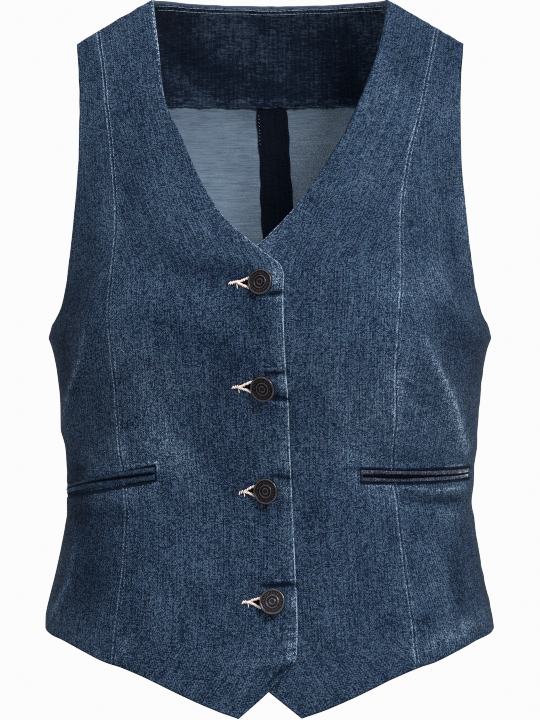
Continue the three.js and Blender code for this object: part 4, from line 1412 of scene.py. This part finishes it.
class Stitches:
    """A mesh of stitches, filled run by run."""

    def __init__(self):
        self.points, self.quads, self.tips, self.count = [], [], [], 0

    def add(self, starts, ends, out, radius, arch=0.8):
        rings, sides = len(STITCH_RINGS), STITCH_SIDES
        along = unit(ends - starts)
        out = unit(out - along * (out * along).sum(-1, keepdims=True))
        beside_it = np.cross(along, out)
        round_it = np.linspace(0, 2 * np.pi, sides, endpoint=False)
        n = len(starts)
        for way, share in STITCH_RINGS:
            middle = starts + (ends - starts) * way + out * (arch * radius * (1 - (2 * way - 1) ** 2))
            for a in round_it:
                self.points.append(middle + (out * math.cos(a) + beside_it * math.sin(a)) * radius * share)
        self.points += [starts, ends]
        index = self.count + np.arange(n)

        def at(ring, side):
            return index + n * (ring * sides + side % sides)

        for side in range(sides):
            for ring in range(rings - 1):
                a, b = at(ring, side), at(ring, side + 1)
                c, d = at(ring + 1, side + 1), at(ring + 1, side)
                self.quads.append(np.stack([a, b, c, d], -1))
            first, last = index + n * rings * sides, index + n * (rings * sides + 1)
            self.tips.append(np.stack([first, at(0, side + 1), at(0, side)], -1))
            self.tips.append(np.stack([last, at(rings - 1, side), at(rings - 1, side + 1)], -1))
        self.count += n * (rings * sides + 2)

    def run(self, line, start, stop, length, gap, radius, lift=0.1, seam=60.0, edge=60.0, wander=0.0, seed=0):
        """Stitches one after another along a line."""
        walk = np.arange(start, stop - length, length + gap)
        draw = np.random.default_rng(seed)
        walk = walk + draw.uniform(-wander, wander, len(walk))
        size = length * (1 + draw.uniform(-wander, wander, len(walk)) / 2)
        a, b = line.at(walk), line.at(walk + size)
        clear = pocket_recess(unrolled_x(a[:, 0], a[:, 1]), a[:, 1]) > CLEAR_OF_POCKET
        a, b = a[clear], b[clear]
        starts, out = on_surface(a[:, 0], a[:, 1], lift, seam, edge)
        ends, _ = on_surface(b[:, 0], b[:, 1], lift, seam, edge)
        self.add(starts, ends, out, radius)

    def across(self, places, out, way, length, radius, slant=0.0, seed=0):
        """Stitches side by side along a path, each one across it."""
        draw = np.random.default_rng(seed)
        along = unit(np.gradient(places, axis=0))
        over = unit(way + along * slant)
        reach = length / 2 * (1 + draw.uniform(-0.14, 0.14, len(places)))[:, None]
        middle = places + along * draw.uniform(-0.1, 0.1, len(places))[:, None]
        self.add(middle - over * reach, middle + over * reach, out, radius, arch=1.6)

    def made(self, name, material, slot_name):
        made = new_object(name, np.concatenate(self.points), [*self.quads, *self.tips], [material])
        return made


def straight(turn0, drop0, turn1, drop1):
    return Line([turn0, (turn0 + turn1) / 2, turn1], [drop0, (drop0 + drop1) / 2, drop1], samples=200)


# The neck facing and the centre-back allowances, seen through the neck.


def facing_panel():
    armhole_x = smooth(ARMHOLE_BACK, "drop", "x")
    start = shoulder_drop(SHOULDER_TIP - FACING["inset"]) + FACING["step"]
    t = spread(1, many(30), (0.004, 0.012, 0.03), (0.004, 0.012, 0.03))
    drop = start * (1 - t) + FACING["drop"] * t
    turn = back_turn(armhole_x(drop) - FACING["inset"], drop)
    u = spread(1, many(120), (0.002, 0.006), (0.002, 0.006))

    def top(shares):
        across = turn[0] * (1 - shares) + (360 - turn[0]) * shares
        x = half_width(0.0) * np.sin(np.radians(across))
        drops = np.maximum(0.3, shoulder_drop(x) + FACING["step"])
        ends = (shares < 1e-6) | (shares > 1 - 1e-6)
        return np.stack([across, np.where(ends, start, drops)], -1)

    def foot(shares):
        across = turn[-1] * (1 - shares) + (360 - turn[-1]) * shares
        uneven = 0.5 * np.sin(across * 0.7) + 0.3 * np.sin(across * 2.3)
        return np.stack([across, FACING["drop"] + uneven], -1)

    inner, outer = np.stack([turn, drop], -1), np.stack([360 - turn, drop], -1)
    shares = np.broadcast_to(u, (len(t), len(u)))
    return Panel(patch(inner, outer, shares, top, foot), True, True, True)


def allowance_panel(side):
    drops = spread(BACK_HEM_DROP - ALLOWANCE["top"] - 1, many(150), (0.3, 0.8), (0.3, 0.8)) + ALLOWANCE["top"]
    wide = ALLOWANCE["wide"] + 0.5 * np.sin(drops * 0.09) + 0.3 * np.sin(drops * 0.31 + side)
    wide = wide + (0.6 - 3 * np.exp(-(drops - ALLOWANCE["top"]) / 12) if side > 0 else 0)
    shares = np.array([0, 0.03, 0.1, 0.25, 0.45, 0.65, 0.82, 0.93, 0.98, 1])
    out = ALLOWANCE["part"] + (wide[:, None] - ALLOWANCE["part"]) * shares
    x = centre_back_x(drops)[:, None] + side * out
    down = np.broadcast_to(drops[:, None], x.shape)
    return Panel(np.stack([back_turn(x, down), down], -1), True, True, True)


def facing_lift(turn):
    """How far the facing lies in from the back's outside: most at the centre, over the seam allowances."""
    over = ((turn - 180) * SIDE_DEGREE / 16) ** 4
    return -WALL - FACING["gap"] - 1.0 * np.exp(-over)


facing_places = facing_panel()
facing = shell("back_neck_facing_cloth", facing_places, [dark_side, dark_side], 8,
               lift=facing_lift(facing_places.turn), wall=FACING["wall"], turned=False, edging=1.3)
declared(facing, "back_neck_facing")
for k, (side, name) in enumerate(SIDES.items()):
    panel = allowance_panel(side)
    made = shell(f"back_seam_allowance_{name}_cloth", panel, [turned_side, turned_side], 9 + k,
                 lift=-WALL - ALLOWANCE["gap"], wall=ALLOWANCE["wall"], turned=False, edging=0.2)
    declared(made, f"back_seam_allowance_{name}")


# The welt pockets.

LIP_COLUMNS = many(90)
LIP_ENDS = (0.004, 0.012, 0.025)  # finer steps at a lip's two ends, as shares of its length
LIP_CLOSES = 0.03
LIP_SAGS = ((0.25, 23), (0.15, 51))  # height, and how fast it changes along the lip
LIP_ROUND = 15  # points over a lip


def pocket_line(side, share):
    """The turn, the drop of the top and the height of a lip along a pocket."""
    welt = WELTS[side]
    turn = front_turn(welt["x"], welt["drop"]) * (1 - share) + side * welt["turn"] * share
    return turn, *pocket_top(side, share)


def mouth_gap(side, share):
    """How far a pocket's two lips stand apart."""
    welt = WELTS[side]
    return welt["part"] + welt["gape"] * np.exp(-(((share - welt["widest"]) / welt["spread"]) ** 2))


LIP_TIPS = {"outer": 0.4, "outer_fade": 0.14, "inner": 0.1, "inner_fade": 0.05}  # rub at a lip's two ends
LIP_EDGING = {"least": 0.25, "more": 0.6}


def lip(side, lower, seed):
    """One of a pocket's two rounded lips, over the cloth and closed under it."""
    name = f"welt_{'lower' if lower else 'upper'}_{SIDES[side]}"
    t = spread(1, LIP_COLUMNS, LIP_ENDS, LIP_ENDS)[:, None]
    turn, top, high = pocket_line(side, t)
    mouth = mouth_gap(side, t)
    if lower:
        start, stop = top + high + mouth / 2, top + 2 * high - WELT["inset"]
    else:
        start, stop = top + WELT["inset"], top + high - mouth / 2
    a = np.linspace(0, np.pi, LIP_ROUND)[None, :]
    over = (1 - np.cos(a)) / 2
    ends = np.minimum(1, np.minimum(t, 1 - t) / LIP_CLOSES) ** 0.5
    sag = sum(height * np.sin(t * fast + n * seed) for n, (height, fast) in enumerate(LIP_SAGS, 1))
    thick = (WELT["wall"] + sag * 0.4) * (0.35 + 0.65 * ends)
    lift = WELT["lift"] - WELTS[side]["sink"] + thick * np.sin(a) ** 0.55 - 0.5 * (np.sin(a) < 0.01)
    drop = start + (stop - start) * over
    turns = np.broadcast_to(turn, drop.shape)
    outside, _ = on_surface(turns, drop, lift)
    under, _ = on_surface(turns[:, [-1, 0]], drop[:, [-1, 0]], -0.35)
    points = np.concatenate([outside, under], 1)
    rows, columns = points.shape[:2]
    index = np.arange(rows * columns).reshape(rows, columns)
    ring = np.concatenate([index, index[:, :1]], 1)
    flip = side > 0
    faces = [grid_faces(ring, not flip), [index[0].tolist() if flip else index[0, ::-1].tolist()],
             [index[-1, ::-1].tolist() if flip else index[-1].tolist()]]
    length = steps_between(form(turns, drop), 0)[0]
    high_now = np.abs(stop - start)
    fold = over if not lower else 1 - over
    cloth = np.stack([length, drop - start, np.full_like(drop, seed)], -1)
    sagging = np.broadcast_to(sag, drop.shape)
    wear = np.stack([(1 - fold) * high_now - 0.45, fold * high_now + 2.4, sagging], -1)
    tips = LIP_TIPS["outer"] * np.exp(-((1 - t) / LIP_TIPS["outer_fade"]))
    tips = tips + LIP_TIPS["inner"] * np.exp(-t / LIP_TIPS["inner_fade"])
    paler = LIP_EDGING["least"] + LIP_EDGING["more"] * np.exp(-(1 - t) / WELTS[side]["paling"])
    paler = np.broadcast_to(paler, drop.shape)
    rubbed = np.stack([tips * np.sin(a) ** 2, np.full_like(drop, 60), paler], -1)

    def ringed(values, behind):
        return np.concatenate([values, np.broadcast_to(behind, (rows, 2, 3))], 1).reshape(-1, 3)

    attributes = {"cloth": ringed(cloth, (0, 0, seed)), "wear": ringed(wear, (60, 60, 0)),
                  "rubbed": ringed(rubbed, (0, 60, 0))}
    made = new_object(f"{name}_cloth", points.reshape(-1, 3), faces, [lip_sides[side]], None, attributes)
    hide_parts(name)
    wide, long = (2 * high.mean() + 2) * MM, length[-1].max() * MM
    area = (high.mean() + 2.2) * MM * long
    return made


STRIP = {"lift": 0.35, "thick": 0.65, "columns": 4}


def strip(name, lines):
    """A thin dark strip between two lines, each a turn and drop at every step, lying on the cloth: a painted
    shadow in an opening.
    """
    (turn0, drop0), (turn1, drop1) = lines
    u = np.linspace(0, 1, STRIP["columns"])
    turn = turn0[:, None] * (1 - u) + turn1[:, None] * u
    drop = drop0[:, None] * (1 - u) + drop1[:, None] * u
    upper, _ = on_surface(turn, drop, STRIP["lift"])
    lower, _ = on_surface(turn, drop, STRIP["lift"] - STRIP["thick"])
    rows, columns = turn.shape
    front = np.arange(rows * columns).reshape(rows, columns)
    offset = rows * columns
    behind = front + offset
    rim = np.concatenate([front[0], front[1:, -1], front[-1, -2::-1], front[-2:0:-1, 0]])
    after = np.roll(rim, -1)
    walls = np.stack([rim, rim + offset, after + offset, after], -1)
    faces = [grid_faces(front, True), grid_faces(behind), walls[:, ::-1]]
    points = np.concatenate([upper.reshape(-1, 3), lower.reshape(-1, 3)])
    made = new_object(name, points, faces, [painted_shadow])


for k, (side, name) in enumerate(SIDES.items()):
    lip(side, False, 20 + k)
    lip(side, True, 22 + k)
    t = np.linspace(0.01, 0.99, 60)
    turn, top, high = pocket_line(side, t)
    # A dark sheet in each pocket's mouth: a painted shadow.
    gap = mouth_gap(side, t) + 0.2
    strip(f"pocket_mouth_shadow_{name}", ((turn, top + high - gap / 2), (turn, top + high + gap / 2)))


# The buttons.

CAP_PROFILE = (  # radius, height over the seat, how much it is rubbed
    (0, 1.9, 0), (2.2, 1.9, 0), (2.2, 7.0, 0), (2.5, 7.5, 0), (3.2, 7.8, 0), (8.9, 7.8, 0.1), (9.5, 7.9, 0.3),
    (9.85, 8.2, 0.6), (10, 8.7, 0.8), (10, 9.4, 0.9), (9.92, 9.9, 1), (9.72, 10.35, 1), (9.4, 10.62, 1),
    (9.0, 10.7, 1), (8.6, 10.62, 0.9), (8.35, 10.42, 0.5), (8.2, 10.2, 0.1), (8.0, 10.1, 0), (7.0, 10.1, 0),
    (5.6, 10.12, 0), (5.3, 10.2, 0.2), (5.1, 10.4, 0.7), (4.85, 10.6, 1), (4.6, 10.66, 1), (4.35, 10.6, 0.9),
    (4.15, 10.42, 0.4), (4.0, 10.25, 0), (2.9, 10.2, 0), (2.65, 10.4, 0.6), (2.3, 10.52, 0.9),
    (1.9, 10.52, 0.9), (1.6, 10.38, 0.5), (1.4, 10.22, 0), (0.8, 10.2, 0), (0.5, 10.3, 0.4), (0, 10.34, 0.6))
CAP_SIDES = 72
BEHIND = -WALL - BUTTON["gap"]
TACK_PROFILE = (
    (0, BEHIND - 1, 0.5), (3.2, BEHIND - 1, 0.5), (3.9, BEHIND - 0.7, 0.5), (4, BEHIND - 0.2, 0.4),
    (3.8, BEHIND, 0.3), (1.2, BEHIND, 0), (1.2, 0.6, 0), (3.3, 0.6, 0), (3.3, 2.4, 0), (0, 2.4, 0))
TACK_SIDES = 40
PALER = (0, 0.05, 0.1, 0.45)  # how much paler each button's metal is made, from the top
TICK = {"count": 36, "inner": 5.95, "outer": 7.65, "half": 0.17, "base": 10.0, "top": 10.3, "rub": 0.8}
CAP_DEGREES = 31  # each cap is turned by so much more than the one above it
SHARP_DEGREES = 50


def lathe(profile, sides):
    """Points, faces and rub of a turned shape round Y, closed on its axis at both ends."""
    a = np.linspace(0, 2 * np.pi, sides, endpoint=False)
    rings = profile[1:-1]
    points = [(r * math.sin(t), h, r * math.cos(t)) for r, h, _ in rings for t in a]
    rub = [w for *_, w in rings for _ in a]
    quads = []
    for k, j in itertools.product(range(len(rings) - 1), range(sides)):
        here, after = k * sides, (j + 1) % sides
        quads.append((here + j, here + after, here + sides + after, here + sides + j))
    first, last = len(points), len(points) + 1
    points += [(0, profile[0][1], 0), (0, profile[-1][1], 0)]
    rub += [profile[0][2], profile[-1][2]]
    base = (len(rings) - 1) * sides
    tips = [(first, (j + 1) % sides, j) for j in range(sides)]
    tips += [(last, base + j, base + (j + 1) % sides) for j in range(sides)]
    return np.array(points), quads, tips, rub


def box_between(low, high):
    corners = np.array(list(itertools.product(*zip(low, high))))
    quads = [(0, 1, 3, 2), (4, 6, 7, 5), (0, 4, 5, 1), (2, 3, 7, 6), (0, 2, 6, 4), (1, 5, 7, 3)]
    return corners, quads


def turned_by(points, degrees, axis):
    a = math.radians(degrees)
    c, s = math.cos(a), math.sin(a)
    matrix = {"Y": [[c, 0, s], [0, 1, 0], [-s, 0, c]], "Z": [[c, -s, 0], [s, c, 0], [0, 0, 1]]}[axis]
    return points @ np.array(matrix).T


def button_seat(button):
    """Where a button's stem meets the under front, and its three axes there."""
    lean = BUTTON["stand_off"] + BUTTON["cap"] / 4
    x = button["x"] + lean * math.tan(math.radians(button["turn"]))
    turn = front_turn(x, button["drop"])
    out = normal(np.array(turn), np.array(button["drop"]))
    to_right = unit(np.array([-1.0, 0, 0]) + out * out[0])
    up = np.cross(to_right, out)
    seat, _ = on_surface(turn, button["drop"], -UNDERLAP["sink"])
    return seat, np.stack([to_right, out, up])


def button_mesh(number, button, seed):
    """A button's cap, ticks and tack in one mesh. The cap leans to the side by its own turn."""
    points, quads, tips, rub = lathe(CAP_PROFILE, CAP_SIDES)
    parts, rubs, faces, count = [points], [*rub], [quads, tips], len(points)
    for k in range(TICK["count"]):
        low = (TICK["inner"], TICK["base"], -TICK["half"])
        corners, sides = box_between(low, (TICK["outer"], TICK["top"], TICK["half"]))
        parts.append(turned_by(corners, 360 * k / TICK["count"], "Y"))
        rubs += [TICK["rub"]] * len(corners)
        faces.append([tuple(count + i for i in side) for side in sides])
        count += len(corners)
    cap = turned_by(turned_by(np.concatenate(parts), CAP_DEGREES * seed, "Y"), -button["turn"], "Z")
    points, quads, tips, rub = lathe(TACK_PROFILE, TACK_SIDES)
    faces += [[tuple(count + i for i in face) for face in group] for group in (quads, tips)]
    seat, axes = button_seat(button)
    points = np.concatenate([cap, points]) @ axes + seat
    rubs = [value + PALER[number - 1] for value in rubs + rub]
    made = new_object(f"button_{number}_metal", points, faces, [metal], None, {"rub": rubs})
    made.data.set_sharp_from_angle(angle=math.radians(SHARP_DEGREES))
    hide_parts(f"button_{number}")


for k, button in enumerate(BUTTONS):
    button_mesh(k + 1, button, k)


# The buttonholes: a thread bar, and two arms of close stitches that open towards the button.

HOLE = {"half": 3.9, "reach": 9.0, "step": 1.1, "arm": 2.7, "bar": 3.2, "thread": 0.56, "lift": 0.4,
        "wave": 0.25, "slant": 0.9, "open": 0.8}
TAIL = {"from": 1.2, "to": 5.2, "shorter": 0.4, "aside": 0.4, "lift": 0.35, "radius": 0.4}


def buttonhole(thread, button, seed):
    """A buttonhole's stitches, its loose thread, and a dark sheet between its arms that is a painted shadow
    in its opening.
    """
    tip_x, tip_drop = tip = button["tip"]
    eye = button["x"] - HOLE["reach"]
    arms = [(tip, (eye, button["drop"] + way * HOLE["half"])) for way in (-1, 1)]
    paths = [((button["bar"], tip), HOLE["bar"]), *((arm, HOLE["arm"]) for arm in arms)]
    for k, (((x0, d0), (x1, d1)), length) in enumerate(paths):
        count = max(3, round(math.hypot(x1 - x0, d1 - d0) / HOLE["step"]))
        t = np.linspace(0, 1, count)
        x, drop = x0 + (x1 - x0) * t, d0 + (d1 - d0) * t + HOLE["wave"] * np.sin(t * 5 + seed)
        places, out = on_surface(front_turn(x, drop), drop, HOLE["lift"])
        way = np.cross(out, unit(np.gradient(places, axis=0)))
        thread.across(places, out, way, length, HOLE["thread"], slant=HOLE["slant"], seed=40 + 5 * seed + k)
    x = tip_x + np.array([0, TAIL["aside"]])
    drop = tip_drop + np.array([TAIL["from"], TAIL["to"] - seed * TAIL["shorter"]])
    ends, out = on_surface(front_turn(x, drop), drop, TAIL["lift"])
    thread.add(ends[:1], ends[1:], out[:1], TAIL["radius"])
    # The painted shadow in the opening, as a dark sheet between the arms.
    t = np.linspace(0.1, 1, 12)
    sides = []
    for (x0, d0), (x1, d1) in arms:
        x, drop = x0 + (x1 - x0) * t, d0 + (d1 - d0) * t * HOLE["open"]
        sides.append((front_turn(x, drop), drop))
    strip(f"buttonhole_{seed + 1}", sides)


thread = Stitches()
for k, button in enumerate(BUTTONS):
    buttonhole(thread, button, k)
thread.made("buttonhole_thread", cream_thread, "denim")


# Seams and edges.

edge_thread, inner_thread, seam_thread = Stitches(), Stitches(), Stitches()
for side in (-1, 1):
    neck = Line(front_turn(NECK_EDGE[side]["x"], NECK_EDGE[side]["drop"]), NECK_EDGE[side]["drop"])
    inset = beside(neck, side * 1.5)
    if side < 0:
        edge_thread.run(inset, 10, 46, length=2.8, gap=1.9, radius=0.3, lift=0.05, edge=1.5,
                        wander=0.3, seed=60)
        edge_thread.run(inset, 46, 96, length=1.6, gap=3.4, radius=0.2, lift=0, edge=1.5,
                        wander=0.6, seed=64)
    princess = princess_line(side)
    for way, strength in ((-1, 1.0), (1, 0.72)):
        row = beside(princess, way * 1.4)
        seed = 70 + 2 * side + way
        upper = row.length * 0.3
        seam_thread.run(row, 3, upper, length=1.3, gap=1.5, radius=0.24 * strength, seam=1.25,
                        wander=0.35, seed=seed)
        seam_thread.run(row, upper, row.length - 4, length=0.9, gap=2.4, radius=0.16 * strength,
                        lift=0.04, seam=1.25, wander=0.6, seed=seed + 10)

NECK_ROWS = {"drops": (1.6, 4.4), "half": 90.5, "length": 3.4, "gap": 0.1, "radius": 0.2}
for drop in NECK_ROWS["drops"]:
    start = back_turn(NECK_ROWS["half"], drop)
    line = straight(start, drop, 360 - start, drop)
    walk = np.arange(0.5, line.length - 3, NECK_ROWS["length"] + NECK_ROWS["gap"])
    a, b = line.at(walk), line.at(walk + NECK_ROWS["length"])
    ends = []
    for place in (a, b):
        at, out = on_surface(place[:, 0], place[:, 1], 0, edge=drop)
        ends.append(at + out * (facing_lift(place[:, 0]) - FACING["wall"] - 0.05)[:, None])
    inner_thread.add(ends[0], ends[1], -out, NECK_ROWS["radius"])

OVERLOCK = {"below": 6, "foot": 108, "step": 2.9, "inset": 1.3, "wide": 1.1, "slant": 0.9, "radius": 0.16}
drops = np.arange(FACING["drop"] + OVERLOCK["below"], OVERLOCK["foot"], OVERLOCK["step"])
ends = []
for way in (-0.5, 0.5):
    x = centre_back_x(drops) - ALLOWANCE["wide"] + OVERLOCK["inset"] + way * OVERLOCK["wide"]
    down = drops + way * OVERLOCK["slant"]
    at, out = on_surface(back_turn(x, down), down, -WALL - ALLOWANCE["gap"] - ALLOWANCE["wall"] - 0.05)
    ends.append(at)
inner_thread.add(ends[0], ends[1], -out, OVERLOCK["radius"])

edge_thread.made("edge_stitches", pale_thread, "denim")
seam_thread.made("seam_stitches", blue_thread, "denim")
inner_thread.made("inner_stitches", blue_thread, "dark_denim")


# Light, camera and floor.

CAMERA = {"distance": 3.0, "height": -0.2635, "lens": 192.3}
FLOOR = {"size": 4, "height": -1.15}
WORLD = {"From Min": 0.8, "From Max": 0.95, "To Min": 0.4, "To Max": 0.97}  # its strength, by the way to +Y
LIGHTS = (  # name, place, size, watts, aim
    ("key", (1.3, -2.2, 1.5), 0.9, 98, (0, 0, -0.25)),
    ("fill", (-2.2, -2.0, 0.5), 1.6, 14, (0, 0, -0.25)),
    ("top", (-0.5, -0.5, 1.6), 1.2, 15, (0, 0, 0)),
)


def area_light(name, place, size, energy, aim):
    light = bpy.data.lights.new(name, "AREA")
    light.shape, light.size, light.energy = "DISK", size, energy
    made = bpy.data.objects.new(name, light)
    bpy.context.scene.collection.objects.link(made)
    made.location = place
    made.rotation_euler = (Vector(aim) - made.location).to_track_quat("-Z", "Y").to_euler()


def studio():
    scene = bpy.context.scene
    scene.view_settings.view_transform = "Standard"
    scene.cycles.use_denoising = False  # it wipes out the grain of the cloth
    scene.cycles.filter_width = 1.0  # sharp, as the photograph's weave is
    world = bpy.data.worlds.new("studio")
    world.use_nodes = True
    scene.world = world
    tree = world.node_tree
    background = tree.nodes["Background"]
    background.inputs["Color"].default_value = (1, 1, 1, 1)
    place = tree.nodes.new("ShaderNodeTexCoord")
    parts = tree.nodes.new("ShaderNodeSeparateXYZ")
    bright = tree.nodes.new("ShaderNodeMapRange")
    for key, value in WORLD.items():
        bright.inputs[key].default_value = value
    tree.links.new(place.outputs["Generated"], parts.inputs[0])
    tree.links.new(parts.outputs["Y"], bright.inputs["Value"])
    tree.links.new(bright.outputs[0], background.inputs["Strength"])
    for row in LIGHTS:
        area_light(*row)

    camera = bpy.data.cameras.new("camera")
    camera.lens = CAMERA["lens"]
    made = bpy.data.objects.new("camera", camera)
    scene.collection.objects.link(made)
    made.location = (0, -CAMERA["distance"], CAMERA["height"])
    made.rotation_euler = (math.radians(90), 0, 0)
    scene.camera = made

    bpy.ops.mesh.primitive_plane_add(size=FLOOR["size"], location=(0, 0, FLOOR["height"]))
    floor = bpy.context.object
    floor.name = "floor"
    pale = bpy.data.materials.new("floor")
    pale.use_nodes = True
    pale.node_tree.nodes["Principled BSDF"].inputs["Base Color"].default_value = (0.8, 0.8, 0.8, 1)
    floor.data.materials.append(pale)


studio()
